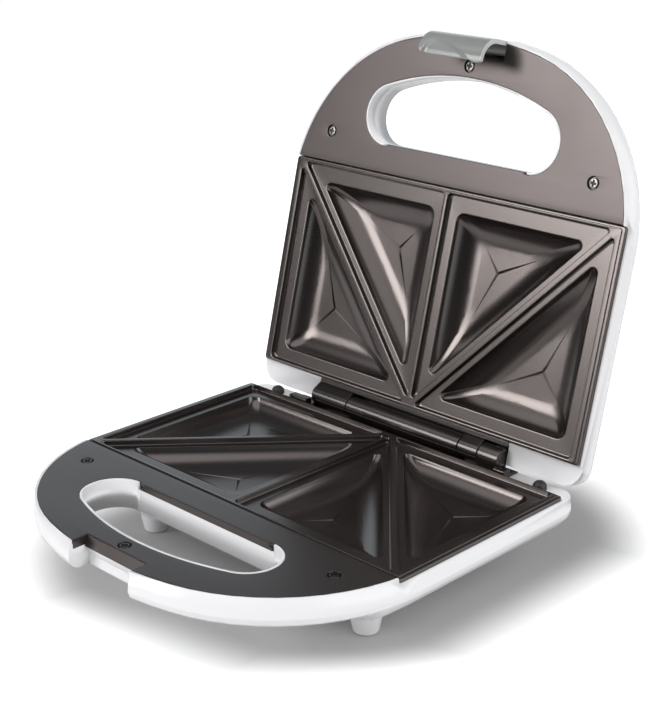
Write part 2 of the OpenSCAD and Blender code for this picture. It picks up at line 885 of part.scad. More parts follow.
module foot_pads() {
  color("gainsboro")
    lower_half()
      both_sides()
        for (p = foot_at)
          translate([p[0], p[1], -rim_height]) cylinder(h = pad_h, r = pad_r - 2 * fit_gap);
}

fuse_r = 1.6;
fuse_len = 24;
fuse_y = lug_y[2] - 31;
sleeve_t = 1;

module fuse_at(r, length) {
  upper_half()
    translate([0, fuse_y + (fuse_len - length) / 2, land_under - fuse_r - sleeve_t - 2 * fit_gap])
      rotate([-90, 0, 0]) cylinder(h = length, r = r);
}

module thermal_fuse() {
  color("silver") fuse_at(fuse_r, fuse_len);
}

module fuse_sleeve() {
  color("khaki")
    difference() {
      fuse_at(fuse_r + fit_gap + sleeve_t, fuse_len - 6);
      fuse_at(fuse_r + fit_gap, 2 * fuse_len);
    }
}

// Plastic bridge that holds the two lamps behind their lenses
module lamp_holder() {
  color("ivory")
    upper_half()
      difference() {
        box(-lens_x - holder_rim, lens_x + holder_rim, lens_y - holder_d / 2, lens_y + holder_d / 2,
          floor_z, floor_z + holder_h);
        for (s = [-1, 1])
          translate([s * lens_x, lens_y, floor_z - holder_h])
            cylinder(h = 3 * holder_h, r = lens_r + 0.9);
      }
}

module indicator_lamps() {
  color("orange")
    upper_half()
      for (s = [-1, 1])
        translate([s * lens_x, lens_y, floor_z + lens_flange_t + 2 * seat_gap]) {
          cylinder(h = lamp_h, r = lamp_r);
          translate([0, 0, lamp_h - 2]) cylinder(h = 1.5, r = lens_r + 0.8);
        }
}

module lens(side, tint) {
  color(tint)
    upper_half()
      translate([side * lens_x, lens_y, 0]) {
        translate([0, 0, floor_z]) cylinder(h = lens_flange_t, r = lens_r + 0.7);
        translate([0, 0, -body_depth - 0.5]) cylinder(h = wall + 0.6, r = lens_r - 0.1);
      }
}

module power_lens() {
  lens(-1, "red");
}

module ready_lens() {
  lens(1, "green");
}

module latch_pin() {
  color("silver")
    upper_half()
      x_rod(-recess_half - 1.8, recess_half + 1.8, latch_pivot[0], latch_pivot[1], latch_pin_r);
}

// Latch: a flat front, a barrel on its pin and a curled hook
module latch() {
  color("#8d928c")
    upper_half()
      difference() {
        union() {
          translate([-latch_w / 2, 0, 0])
            rotate([90, 0, 90])
              linear_extrude(latch_w)
                polygon(concat(
                  [[latch_face, latch_low], [latch_face + latch_t, latch_low]],
                  arc_pts(latch_face + hook_r, hook_reach - hook_r, hook_r - latch_t, 180, 90, 10),
                  [[hook_tip_y, hook_reach - latch_t], [hook_tip_y, hook_reach]],
                  arc_pts(latch_face + hook_r, hook_reach - hook_r, hook_r, 90, 180, 10)
                ));
          x_rod(-latch_w / 2, latch_w / 2, latch_pivot[0], latch_pivot[1], latch_barrel_r);
        }
        x_rod(-latch_w, latch_w, latch_pivot[0], latch_pivot[1], latch_pin_r + 0.07);
      }
}

base_shell();
base_handle_cover();
base_cover_screws();
lower_plate();
lower_heating_element();
lower_reflector();
lower_reflector_screws();
thermostat();
terminal_block();
base_wiring();
cord_gland();
base_hinge_bracket();
base_hinge_screws();
hinge_pins();
rear_buffers();
foot_pads();
lid_shell();
lid_handle_cover();
lid_cover_screws();
upper_plate();
upper_heating_element();
upper_reflector();
upper_reflector_screws();
thermal_fuse();
fuse_sleeve();
lamp_holder();
indicator_lamps();
power_lens();
ready_lens();
lid_hinge_bracket();
lid_hinge_screws();
latch_pin();
latch();
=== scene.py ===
import json
import math

import bmesh
import bpy
from mathutils import Matrix, Vector, geometry

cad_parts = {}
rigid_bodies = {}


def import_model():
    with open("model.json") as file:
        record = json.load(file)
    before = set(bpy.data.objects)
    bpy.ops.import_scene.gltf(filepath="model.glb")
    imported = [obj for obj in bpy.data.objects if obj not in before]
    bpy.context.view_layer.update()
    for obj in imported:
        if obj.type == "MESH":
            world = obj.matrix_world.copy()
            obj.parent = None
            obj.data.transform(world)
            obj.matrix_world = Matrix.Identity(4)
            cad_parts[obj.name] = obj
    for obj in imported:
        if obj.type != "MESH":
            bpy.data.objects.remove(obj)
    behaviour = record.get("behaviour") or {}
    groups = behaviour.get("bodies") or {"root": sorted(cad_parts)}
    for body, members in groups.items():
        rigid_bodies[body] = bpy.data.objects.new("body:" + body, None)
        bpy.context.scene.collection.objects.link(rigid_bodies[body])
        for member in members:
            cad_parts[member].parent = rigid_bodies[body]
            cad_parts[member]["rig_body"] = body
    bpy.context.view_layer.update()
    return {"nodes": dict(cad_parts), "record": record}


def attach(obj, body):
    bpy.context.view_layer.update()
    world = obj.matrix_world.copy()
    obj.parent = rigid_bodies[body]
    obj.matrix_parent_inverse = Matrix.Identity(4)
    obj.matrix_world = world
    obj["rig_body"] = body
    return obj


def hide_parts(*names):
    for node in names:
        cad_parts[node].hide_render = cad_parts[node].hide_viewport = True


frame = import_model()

nodes = frame["nodes"]
slot_of = {part["node"]: part["material_slot"] for part in frame["record"]["subparts"]}
scene = bpy.context.scene
scene.view_settings.view_transform = "Standard"
MM = 0.001

# Places that the frame shares with the construction, in millimetres of one half of the toaster: x along the hinge,
# y from front to back, z up from the lower half's rim. The upper half is built the same way and then mirrored.
ORIGIN_Y, RIM_HEIGHT = 53.6507, 45.1
HINGE_Y, HINGE_RISE, SHUT_GAP, OPEN_ANGLE = 125.0, 2.0, 0.5, 103.8

LOWER = Matrix.Scale(MM, 4) @ Matrix.Translation((0, -ORIGIN_Y, RIM_HEIGHT))
UPPER = (
    LOWER
    @ Matrix.Translation((0, HINGE_Y, HINGE_RISE))
    @ Matrix.Rotation(math.radians(-OPEN_ANGLE), 4, "X")
    @ Matrix.Translation((0, -HINGE_Y, SHUT_GAP - HINGE_RISE))
    @ Matrix.Scale(-1, 4, (0, 0, 1))
)
HALVES = ((LOWER, "base"), (UPPER, "lid"))


# ---------------------------------------------------------------- camera, light and stage

# Solved from the photograph: metres; azimuth, elevation and roll in degrees; millimetres of lens and sensor
CAMERA_AT = (0.4896, -0.48975, 0.3559)
CAMERA_ANGLES = (44.119, 20.153, 0.121)
CAMERA_LENS, CAMERA_SENSOR, CAMERA_CLIP = 77.185, 36.0, (0.01, 50)

# Name, direction towards the lamp, width of its patch of sky in degrees, strength
LAMPS = (
    ("front_light", (-0.455, -0.838, 0.301), 26, 1.3),
    ("top_light", (-0.15, -0.45, 0.88), 62, 1.2),
    ("side_light", (0.84, 0.20, 0.50), 60, 1.6),
)

# The even light of the world, and the white sweep that is seen. It darkens between two heights. Gloss sees it in
# GLOSS_TINT, and unlit towards ROOM_SIDE, where it fades over the span ROOM_EDGE of the directions' product.
AIR_COLOUR, AIR_STRENGTH = (0.96, 0.97, 1.0, 1), 0.28
SWEEP_HEIGHTS, SWEEP_LEVELS = (0.38, 0.53), (1.0, 0.15)
ROOM_SIDE, ROOM_EDGE, ROOM_LEVEL = (-0.45, -0.885, -0.12), (-0.1, 0.35), 0.03
GLOSS_TINT = (0.88, 0.99, 1.06)

# The floor, in metres. A shadow is painted on it round the toaster: its core is a leaning box, and it fades
# over SHADOW_EDGE, with corners between round (0) and cut (1). The paper's painted shade and its glow go from
# the painted shadow's value to the open paper's.
FLOOR_R, FLOOR_SIDES = 1.5, 96
SHADOW_LEAN, SHADOW_MIDDLE, SHADOW_HALF = (-0.2, 1, 0), (0.001, 0.0199, 0.0), (0.0535, 0.0666, 0.0)
SHADOW_EDGE, SHADOW_CORNERS = (0.040, 0.084), 0.55
PAINTED_SHADOW_TONE, PAPER_GLOW, PAPER_IN_GLOSS = (0.44, 0.90), (0.05, 0.5), 0.06


def add_camera():
    data = bpy.data.cameras.new("camera")
    data.lens, data.sensor_width, data.sensor_fit = CAMERA_LENS, CAMERA_SENSOR, "AUTO"
    data.clip_start, data.clip_end = CAMERA_CLIP
    azimuth, elevation, roll = (math.radians(a) for a in CAMERA_ANGLES)
    back = Vector((
        math.sin(azimuth) * math.cos(elevation),
        -math.cos(azimuth) * math.cos(elevation),
        math.sin(elevation),
    ))
    right = (-back).cross(Vector((0, 0, 1))).normalized()
    up = back.cross(right)
    right, up = (
        right * math.cos(roll) + up * math.sin(roll),
        up * math.cos(roll) - right * math.sin(roll),
    )
    turn = Matrix((right, up, back)).transposed().to_4x4()
    camera = bpy.data.objects.new("camera", data)
    camera.matrix_world = Matrix.Translation(CAMERA_AT) @ turn
    scene.collection.objects.link(camera)
    scene.camera = camera


def wide_lamp(name, towards, width, strength):
    """An even, far lamp whose light comes from a round patch of sky."""
    data = bpy.data.lights.new(name, "SUN")
    data.angle, data.energy = math.radians(width), strength
    lamp = bpy.data.objects.new(name, data)
    lamp.rotation_mode = "QUATERNION"
    lamp.rotation_quaternion = Vector(towards).to_track_quat("Z", "Y")
    scene.collection.objects.link(lamp)


def add_node(tree, kind, **settings):
    node = tree.nodes.new("ShaderNode" + kind)
    for name, value in settings.items():
        setattr(node, name, value)
    return node


def feed(tree, value, socket):
    """Links a socket to an input, or sets a number or a vector on it."""
    if isinstance(value, bpy.types.NodeSocket):
        tree.links.new(value, socket)
    else:
        socket.default_value = value


def sums(tree, operation, a, b, clamp=False):
    node = add_node(tree, "Math", operation=operation, use_clamp=clamp)
    feed(tree, a, node.inputs[0])
    feed(tree, b, node.inputs[1])
    return node.outputs[0]


def vector_sums(tree, operation, a, b=None, output="Vector"):
    node = add_node(tree, "VectorMath", operation=operation)
    feed(tree, a, node.inputs[0])
    if b is not None:
        feed(tree, b, node.inputs[1])
    return node.outputs[output]


def ramp(tree, value, span, levels, interpolation="SMOOTHSTEP"):
    """Goes from the first level to the second as the value crosses the span."""
    node = add_node(tree, "MapRange", interpolation_type=interpolation)
    for name, number in zip(("From Min", "From Max", "To Min", "To Max"), (*span, *levels)):
        node.inputs[name].default_value = number
    tree.links.new(value, node.inputs["Value"])
    return node.outputs[0]


def blend_value(tree, factor, low, high):
    """low where the factor is 0 and high where it is 1; each is a number or a socket."""
    node = add_node(tree, "Mix", data_type="FLOAT")
    for value, socket in ((factor, node.inputs[0]), (low, node.inputs[2]), (high, node.inputs[3])):
        feed(tree, value, socket)
    return node.outputs[0]


def seen_rays(tree):
    """1 for camera, glossy and transmission rays, 0 for the rays that carry the light."""
    path = add_node(tree, "LightPath")
    total = path.outputs["Is Camera Ray"]
    for other in ("Is Glossy Ray", "Is Transmission Ray"):
        total = sums(tree, "ADD", total, path.outputs[other], clamp=True)
    return total


def put_out(tree, output_kind, join_kind, *parts):
    """Joins the parts in one shader and makes it the tree's surface."""
    joined, out = add_node(tree, join_kind), add_node(tree, output_kind)
    for part, socket in zip(parts, joined.inputs):
        tree.links.new(part, socket)
    tree.links.new(joined.outputs[0], out.inputs["Surface"])


def add_world():
    """A white sweep behind and beside the toaster, and an unlit room in front of it that only gloss shows."""
    world = bpy.data.worlds.new("studio")
    scene.world = world
    world.use_nodes = True
    tree = world.node_tree
    tree.nodes.clear()
    light, seen = add_node(tree, "Background"), add_node(tree, "Background")
    light.inputs["Color"].default_value = AIR_COLOUR
    light.inputs["Strength"].default_value = AIR_STRENGTH
    direction = add_node(tree, "TexCoord").outputs["Generated"]
    split = add_node(tree, "SeparateXYZ")
    tree.links.new(direction, split.inputs[0])
    sweep = ramp(tree, split.outputs["Z"], SWEEP_HEIGHTS, SWEEP_LEVELS)
    towards_room = vector_sums(tree, "DOT_PRODUCT", direction, ROOM_SIDE, "Value")
    in_room = ramp(tree, towards_room, ROOM_EDGE, (0.0, 1.0))
    glossy = add_node(tree, "LightPath").outputs["Is Glossy Ray"]
    strength = blend_value(tree, glossy, sweep, blend_value(tree, in_room, sweep, ROOM_LEVEL))
    tree.links.new(strength, seen.inputs["Strength"])
    cool = add_node(tree, "CombineColor")
    for channel, level in zip(cool.inputs, GLOSS_TINT):
        tree.links.new(blend_value(tree, glossy, 1.0, level), channel)
    tree.links.new(cool.outputs[0], seen.inputs["Color"])
    put_out(tree, "OutputWorld", "MixShader", seen_rays(tree), light.outputs[0], seen.outputs[0])


def painted_shadow_distance(tree):
    """How far a point of the floor is from the core of the shadow that is painted on it."""
    place = add_node(tree, "TexCoord").outputs["Object"]
    split, leaning = add_node(tree, "SeparateXYZ"), add_node(tree, "CombineXYZ")
    tree.links.new(place, split.inputs[0])
    tree.links.new(split.outputs["X"], leaning.inputs["X"])
    tree.links.new(vector_sums(tree, "DOT_PRODUCT", place, SHADOW_LEAN, "Value"), leaning.inputs["Y"])
    offset = leaning.outputs[0]
    for operation, number in (
        ("SUBTRACT", SHADOW_MIDDLE), ("ABSOLUTE", None), ("SUBTRACT", SHADOW_HALF), ("MAXIMUM", (0, 0, 0)),
    ):
        offset = vector_sums(tree, operation, offset, number)
    round_way = vector_sums(tree, "LENGTH", offset, output="Value")
    cut_way = vector_sums(tree, "DOT_PRODUCT", offset, (1, 1, 0), "Value")
    return blend_value(tree, SHADOW_CORNERS, round_way, cut_way)


def add_floor():
    """White paper that glows for the eye beside the toaster, and hardly at all under it, where a shadow is painted
    into the paper's colour.
    """
    mesh = bpy.data.meshes.new("floor")
    turns = [math.tau * i / FLOOR_SIDES for i in range(FLOOR_SIDES)]
    rim = [(FLOOR_R * math.cos(a), FLOOR_R * math.sin(a), 0) for a in turns]
    mesh.from_pydata(rim, [], [range(FLOOR_SIDES)])
    floor = bpy.data.objects.new("floor", mesh)
    scene.collection.objects.link(floor)
    material = bpy.data.materials.new("floor_paper")
    material.use_nodes = True
    tree = material.node_tree
    tree.nodes.clear()
    diffuse, glow = add_node(tree, "BsdfDiffuse"), add_node(tree, "Emission")
    glow.inputs["Color"].default_value = (1, 1, 1, 1)
    away = painted_shadow_distance(tree)
    # Painted shadow: the paper's colour darkens towards the toaster's footprint
    tone = add_node(tree, "CombineColor")
    shade = ramp(tree, away, SHADOW_EDGE, PAINTED_SHADOW_TONE)
    for channel in tone.inputs:
        tree.links.new(shade, channel)
    tree.links.new(tone.outputs[0], diffuse.inputs["Color"])
    glossy = add_node(tree, "LightPath").outputs["Is Glossy Ray"]
    shown = blend_value(tree, glossy, ramp(tree, away, SHADOW_EDGE, PAPER_GLOW), PAPER_IN_GLOSS)
    tree.links.new(sums(tree, "MULTIPLY", seen_rays(tree), shown), glow.inputs["Strength"])
    put_out(tree, "OutputMaterial", "AddShader", diffuse.outputs[0], glow.outputs[0])
    mesh.materials.append(material)


# ---------------------------------------------------------------- materials

# Detail and roughness of the noise for tone and for relief, and its values between which tone and roughness change
TONE_NOISE, FINE_NOISE, NOISE_SPAN = (5, 0.6), (3, 0.5), (0.3, 0.7)
COAT_ROUGH, LEAST_ROUGH = 0.1, 0.02


def noise(tree, place, scale, detail, roughness):
    node = add_node(tree, "TexNoise")
    for name, number in (("Scale", scale), ("Detail", detail), ("Roughness", roughness)):
        node.inputs[name].default_value = number
    tree.links.new(place, node.inputs["Vector"])
    return node.outputs["Fac"]


def surface(
    name, colour, rough, spread=0.06, tone_scale=35.0, grain=1400.0, grain_height=0.004, rough_spread=0.05,
    metallic=0.0, coat=0.0, transmission=0.0, specular=0.5, ior=1.5, tint=None, brushed=(1, 1, 1),
):
    """A material whose tone, roughness and relief all vary over the surface; grain_height is in millimetres."""
    material = bpy.data.materials.new(name)
    material.use_nodes = True
    tree = material.node_tree
    shader = tree.nodes["Principled BSDF"]
    mapping = add_node(tree, "Mapping")
    mapping.inputs["Scale"].default_value = brushed
    tree.links.new(add_node(tree, "TexCoord").outputs["Object"], mapping.inputs["Vector"])
    tone = noise(tree, mapping.outputs[0], tone_scale, *TONE_NOISE)
    fine = noise(tree, mapping.outputs[0], grain, *FINE_NOISE)

    shades = add_node(tree, "ValToRGB")
    for stop, position, change in zip(shades.color_ramp.elements, NOISE_SPAN, (-spread, spread)):
        stop.position = position
        stop.color = [min(1.0, c * (1 + change)) for c in colour] + [1]
    tree.links.new(tone, shades.inputs["Fac"])
    tree.links.new(shades.outputs["Color"], shader.inputs["Base Color"])

    rough_levels = (max(LEAST_ROUGH, rough - rough_spread), rough + rough_spread)
    tree.links.new(ramp(tree, tone, NOISE_SPAN, rough_levels, "LINEAR"), shader.inputs["Roughness"])

    bump = add_node(tree, "Bump")
    bump.inputs["Strength"].default_value = 1.0
    bump.inputs["Distance"].default_value = grain_height * MM
    tree.links.new(fine, bump.inputs["Height"])
    tree.links.new(bump.outputs[0], shader.inputs["Normal"])

    for socket, number in (
        ("Metallic", metallic), ("Coat Weight", coat), ("Coat Roughness", COAT_ROUGH),
        ("Transmission Weight", transmission), ("Specular IOR Level", specular), ("IOR", ior),
    ):
        shader.inputs[socket].default_value = number
    if tint:
        shader.inputs["Specular Tint"].default_value = (*tint, 1)
    return material


LOOKS = {
    "casing_plastic": dict(
        colour=(0.83, 0.825, 0.835), rough=0.24, spread=0.008, tone_scale=14, grain=900, grain_height=0.0012,
        rough_spread=0.012, coat=0.15,
    ),
    "cover_plastic": dict(
        colour=(0.018, 0.0155, 0.015), rough=0.31, spread=0.05, tone_scale=18, grain=2600, grain_height=0.002,
        rough_spread=0.015, specular=0.95, tint=(1.0, 0.86, 0.84),
    ),
    "plate_coating": dict(
        colour=(0.007, 0.0054, 0.0048), rough=0.24, spread=0.05, tone_scale=18, grain=1800, grain_height=0.0003,
        rough_spread=0.008, ior=1.95, tint=(1.0, 0.88, 0.84),
    ),
    "element_steel": dict(colour=(0.40, 0.39, 0.37), rough=0.35, spread=0.12, metallic=1.0),
    "reflector_sheet": dict(colour=(0.70, 0.70, 0.69), rough=0.3, spread=0.05, metallic=1.0, brushed=(1, 12, 12)),
    "screw_steel": dict(colour=(0.30, 0.285, 0.27), rough=0.36, spread=0.1, metallic=1.0, grain=3000),
    # The base's screws: the same steel painted darker, a painted shade for the dark reflection they show
    "screw_steel_painted_shade": dict(colour=(0.09, 0.088, 0.088), rough=0.34, spread=0.1, metallic=1.0, grain=3000),
    # A lighter copy of the latch's plastic: a painted highlight on the latch's right end
    "latch_painted_highlight": dict(colour=(0.60, 0.585, 0.575), rough=0.3, spread=0.03, grain=900, grain_height=0.002, coat=0.2),
    "insulator": dict(colour=(0.80, 0.77, 0.68), rough=0.6, spread=0.04),
    "wire_sleeving": dict(colour=(0.25, 0.12, 0.06), rough=0.55, spread=0.1),
    "gland_rubber": dict(colour=(0.035, 0.034, 0.033), rough=0.55, spread=0.1, grain=1800, grain_height=0.01),
    "hinge_plastic": dict(
        colour=(0.0075, 0.0062, 0.0056), rough=0.23, spread=0.1, grain=1600, grain_height=0.001,
        rough_spread=0.01, specular=0.95, tint=(1.0, 0.9, 0.87),
    ),
    "pin_steel": dict(colour=(0.10, 0.095, 0.09), rough=0.3, spread=0.08, metallic=0.9),
    "buffer_rubber": dict(colour=(0.02, 0.019, 0.018), rough=0.5, spread=0.1, grain=1800, grain_height=0.008),
    "pad_rubber": dict(colour=(0.62, 0.62, 0.60), rough=0.7, spread=0.05, grain=1800, grain_height=0.01),
    "fuse_metal": dict(colour=(0.75, 0.74, 0.72), rough=0.25, spread=0.05, metallic=1.0),
    "fuse_sleeving": dict(colour=(0.74, 0.66, 0.45), rough=0.7, spread=0.08, grain_height=0.02),
    "holder_plastic": dict(colour=(0.80, 0.78, 0.70), rough=0.5, spread=0.04),
    "lamp_glass": dict(colour=(0.95, 0.72, 0.45), rough=0.1, spread=0.03, transmission=0.7),
    "lens_red": dict(colour=(0.75, 0.04, 0.03), rough=0.15, spread=0.05, transmission=0.45, coat=0.3),
    "lens_green": dict(colour=(0.04, 0.50, 0.09), rough=0.15, spread=0.05, transmission=0.45, coat=0.3),
    "latch_plastic": dict(
        colour=(0.31, 0.32, 0.31), rough=0.2, spread=0.03, grain=900, grain_height=0.002, transmission=0.2, coat=0.2,
    ),
}
FINISH = {name: surface(name, **look) for name, look in LOOKS.items()}


# ---------------------------------------------------------------- mesh helpers

# Copies of CAD meshes: points closer than WELD are joined, faces flatter than FLAT degrees are merged, and edges
# sharper than DRESS_ANGLE are rounded
WELD, FLAT, DRESS_ANGLE, BEVEL_SEGMENTS = 0.004, 1.0, 32.0, 2
# The nodes that are copied so, and the width of their rounded edges in millimetres
DRESSED = {"base_shell": 0, "lid_shell": 0, "cord_gland": 0.3, "foot_pads": 0.15, "hinge_pins": 0.15}


def new_piece(name, bm, sharp, finish):
    """An object of the finished mesh, shaded smooth up to an angle of sharp degrees."""
    mesh = bpy.data.meshes.new(name)
    bm.to_mesh(mesh)
    bm.free()
    mesh.shade_smooth()
    mesh.set_sharp_from_angle(angle=math.radians(sharp))
    piece = bpy.data.objects.new(name, mesh)
    scene.collection.objects.link(piece)
    mesh.materials.append(FINISH[finish])
    return piece


def weigh_normals(piece, keep_sharp):
    modifier = piece.modifiers.new("normals", "WEIGHTED_NORMAL")
    modifier.keep_sharp = keep_sharp


def make_piece(name, build, half, body, replaced, slot, sharp=30.0, finish=None):
    """Puts a closed mesh, built in millimetres of one half, in its place and on its body."""
    bm = bmesh.new()
    build(bm)
    bm.transform(half)
    bmesh.ops.recalc_face_normals(bm, faces=bm.faces)
    piece = new_piece(name, bm, sharp, finish or slot)
    weigh_normals(piece, keep_sharp=True)
    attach(piece, body)
    if replaced:
        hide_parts(*replaced)


def dressed(node, bevel):
    """A copy of a CAD node's mesh in place of the node, with finer shading and, if it has a bevel, rounded edges."""
    source = nodes[node]
    bm = bmesh.new()
    bm.from_mesh(source.data)
    bmesh.ops.remove_doubles(bm, verts=bm.verts, dist=WELD * MM)
    bmesh.ops.dissolve_limit(
        bm, angle_limit=math.radians(FLAT), verts=bm.verts, edges=bm.edges, use_dissolve_boundaries=False
    )
    piece = new_piece(node + "_finished", bm, DRESS_ANGLE, slot_of[node])
    if bevel:
        round_edges = piece.modifiers.new("edges", "BEVEL")
        round_edges.width = bevel * MM
        round_edges.segments = BEVEL_SEGMENTS
        round_edges.limit_method = "ANGLE"
        round_edges.angle_limit = math.radians(DRESS_ANGLE)
        round_edges.use_clamp_overlap = False
        round_edges.miter_outer = "MITER_ARC"
    weigh_normals(piece, keep_sharp=False)
    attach(piece, source["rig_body"])
    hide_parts(node)


def arc(cx, cy, r, a0, a1, n, first=0):
    """Points on an arc from a0 to a1 degrees in n steps, from step first on."""
    turns = [math.radians(a0 + (a1 - a0) * i / n) for i in range(first, n + 1)]
    return [(cx + r * math.cos(a), cy + r * math.sin(a)) for a in turns]


def circle(cx, cy, r, n=28):
    return arc(cx, cy, r, 0, 360 - 360 / n, n - 1)


def ring(bm, points, z):
    return [bm.verts.new((x, y, z)) for x, y in points]


def section_at(bm, x, points):
    """An upright loop at x, from points (y, z)."""
    return [bm.verts.new((x, y, z)) for y, z in points]


def bridge(bm, a, b):
    for i in range(len(a)):
        j = (i + 1) % len(a)
        bm.faces.new((a[i], a[j], b[j], b[i]))


def stack(bm, loops, close_first=True, close_last=True):
    """Bridges loops one after another, and closes the ends that are to be closed."""
    for a, b in zip(loops, loops[1:]):
        bridge(bm, a, b)
    if close_first:
        bm.faces.new(loops[0])
    if close_last:
        bm.faces.new(loops[-1])


def turned(bm, x, y, levels, n=28, close_first=True, close_last=True):
    """A turned form round an upright axis, from pairs of radius and height; gives its rings."""
    rings = [ring(bm, circle(x, y, r, n), z) for r, z in levels]
    stack(bm, rings, close_first, close_last)
    return rings


def add_prism(bm, low, high):
    bm.faces.new(low)
    bm.faces.new(high)
    bridge(bm, low, high)


def add_box(bm, x0, x1, y0, y1, z0, z1):
    add_prism(bm, *(ring(bm, [(x0, y0), (x1, y0), (x1, y1), (x0, y1)], z) for z in (z0, z1)))


def cap_with_holes(bm, outer, holes):
    loops = [outer, *holes]
    flat = [v for loop in loops for v in loop]
    for a, b, c in geometry.tessellate_polygon([[v.co for v in loop] for loop in loops]):
        bm.faces.new((flat[a], flat[b], flat[c]))


def smoothstep(t):
    t = max(0.0, min(1.0, t))
    return t * t * (3 - 2 * t)


# ---------------------------------------------------------------- cooking plates

PLATE_W, PLATE_D, PLATE_FRONT, PLATE_SKIN = 215.0, 115.5, 0.4, 2.4
RIDGE_W, SIDE_RIM, END_RIM, BACK_RIM = 2.4, 4.8, 2.3, 1.9
DIAGONAL_RIDGE_W = RIDGE_W * 1.3
LAND_DROP, POCKET_DROP = 2.6, 11.0
FRONT_LAND, BACK_LAND, MIDDLE_LAND, SIDE_LAND, RIDGE_LAND = 8.8, 7.2, 6.3, 7.1, 3.7

# Corner radii of a compartment and of its pocket: at the right-angled corner and at the two points
COMPARTMENT_R, POCKET_R = (2.5, 1.2), (5.0, 2.6)

# Middle of a pocket's three creases, and their ends
FRONT_CREASES = ((33.0, 37.4), ((59.0, 24.6), (21.5, 64.6), (22.8, 25.9)))
BACK_CREASES = ((70.9, 79.0), ((82.6, 50.5), (84.3, 92.9), (45.0, 92.3)))
CREASE_HALF, CREASE_DEPTH, CREASE_STEPS = 0.85, 0.65, 7
# Room that the floor's points leave beside a crease, and where the points that run along it lie
CREASE_ROOM, BESIDE_CREASE, BESIDE_ROOM = 1.3, 0.5, 0.3

# A pocket's slope: its run and curve, the insets of its rings, and those of the floor's points with their spacing
SLOPE_RUN, SLOPE_POWER = 14.0, 0.58
SLOPE_STEPS = (0.25, 0.5, 0.8, 1.2, 1.7, 2.3, 3.0, 3.9, 5.0, 6.2, 7.4)
FLOOR_STEPS, FLOOR_SPACING = (9.0, 10.2, 11.4, 12.6, 13.8), 3.0
# Steps round a corner where only distances are taken, and halvings of the search for a distance
COARSE, HALVINGS = 3, 14
# How the triangulation reports: only what is inside the outline, and points closer than this as one
CDT_INSIDE, CDT_EPSILON = 1, 1e-5

# The plate's edge from below to the top, with a low step round the rim: inset in x, inset in y, corner radius, height
PLATE_EDGE = (
    (3.3, 1.0, 1.0, -LAND_DROP - PLATE_SKIN), (3.3, 1.0, 1.0, -2.5), (0.0, 0.0, 1.6, -2.5), (0.0, 0.0, 1.6, -0.95),
    (0.12, 0.12, 1.6, -0.68), (0.4, 0.4, 1.5, -0.55), (1.45, 0.85, 1.2, -0.55), (1.7, 0.95, 1.1, -0.5),
    (1.85, 1.05, 1.0, -0.12), (2.1, 1.2, 1.0, 0.0),
)
# A compartment's side and a pocket's brim: inset, what its corner radii gain, height
COMPARTMENT_SIDE = (
    (-0.5, 0.5, 0.0), (-0.22, 0.22, -0.07), (-0.05, 0.0, -0.28), (0.0, 0.0, -0.6),
    (0.15, 0.0, -2.0), (0.32, 0.0, -2.35), (0.6, 0.0, -2.55), (1.0, 0.0, -LAND_DROP),
)
POCKET_BRIM = ((-0.7, 0.7, -LAND_DROP), (-0.3, 0.3, -LAND_DROP - 0.08), (0.0, 0.0, -LAND_DROP - 0.4))
BELOW_BRIM = -LAND_DROP - 0.45
# The bowl under a pocket
POCKET_BELOW = ((-0.1, 0.1, -LAND_DROP - PLATE_SKIN), (-0.1, 0.1, -POCKET_DROP - PLATE_SKIN))


def norm2(p):
    return math.hypot(p[0], p[1])


def sub(p, q):
    return (p[0] - q[0], p[1] - q[1])


def sides(v):
    return norm2(sub(v[2], v[1])), norm2(sub(v[0], v[2])), norm2(sub(v[1], v[0]))


def tri_mid(v):
    """Centre of a triangle's inscribed circle."""
    la, lb, lc = sides(v)
    return tuple((la * v[0][k] + lb * v[1][k] + lc * v[2][k]) / (la + lb + lc) for k in (0, 1))


def tri_rho(v):
    """Radius of a triangle's inscribed circle."""
    a, b = sub(v[1], v[0]), sub(v[2], v[0])
    return abs(a[0] * b[1] - b[0] * a[1]) / sum(sides(v))


def radii(square_at, corner_r, grow=0.0):
    square, point = corner_r
    return [(square if i == square_at else point) + grow for i in range(3)]


def tri_pts(v, d, r, n=8):
    """Points of a triangle with its sides moved in by d and each corner rounded by its own radius."""
    mid, rho = tri_mid(v), tri_rho(v)
    out = []
    for i in range(3):
        p, q, s = v[(i + 2) % 3], v[i], v[(i + 1) % 3]
        a0 = math.atan2(q[1] - p[1], q[0] - p[0]) - math.pi / 2
        turn = (math.atan2(s[1] - q[1], s[0] - q[0]) - math.pi / 2 - a0) % (2 * math.pi)
        k = (d + r[i]) / rho
        c = (q[0] + (mid[0] - q[0]) * k, q[1] + (mid[1] - q[1]) * k)
        for j in range(n + 1):
            a = a0 + turn * j / n
            out.append((c[0] + r[i] * math.cos(a), c[1] + r[i] * math.sin(a)))
    return out


def inset_tri(v, d):
    """A triangle with each side moved in by its own distance."""
    out = []
    for i in range(3):
        p, q, s = v[(i + 2) % 3], v[i], v[(i + 1) % 3]
        u = tuple(c / norm2(sub(q, p)) for c in sub(q, p))
        w = tuple(c / norm2(sub(s, q)) for c in sub(s, q))
        cross = u[0] * w[1] - u[1] * w[0]
        out.append(tuple(q[k] + (d[(i + 2) % 3] * w[k] - d[i] * u[k]) / cross for k in (0, 1)))
    return out


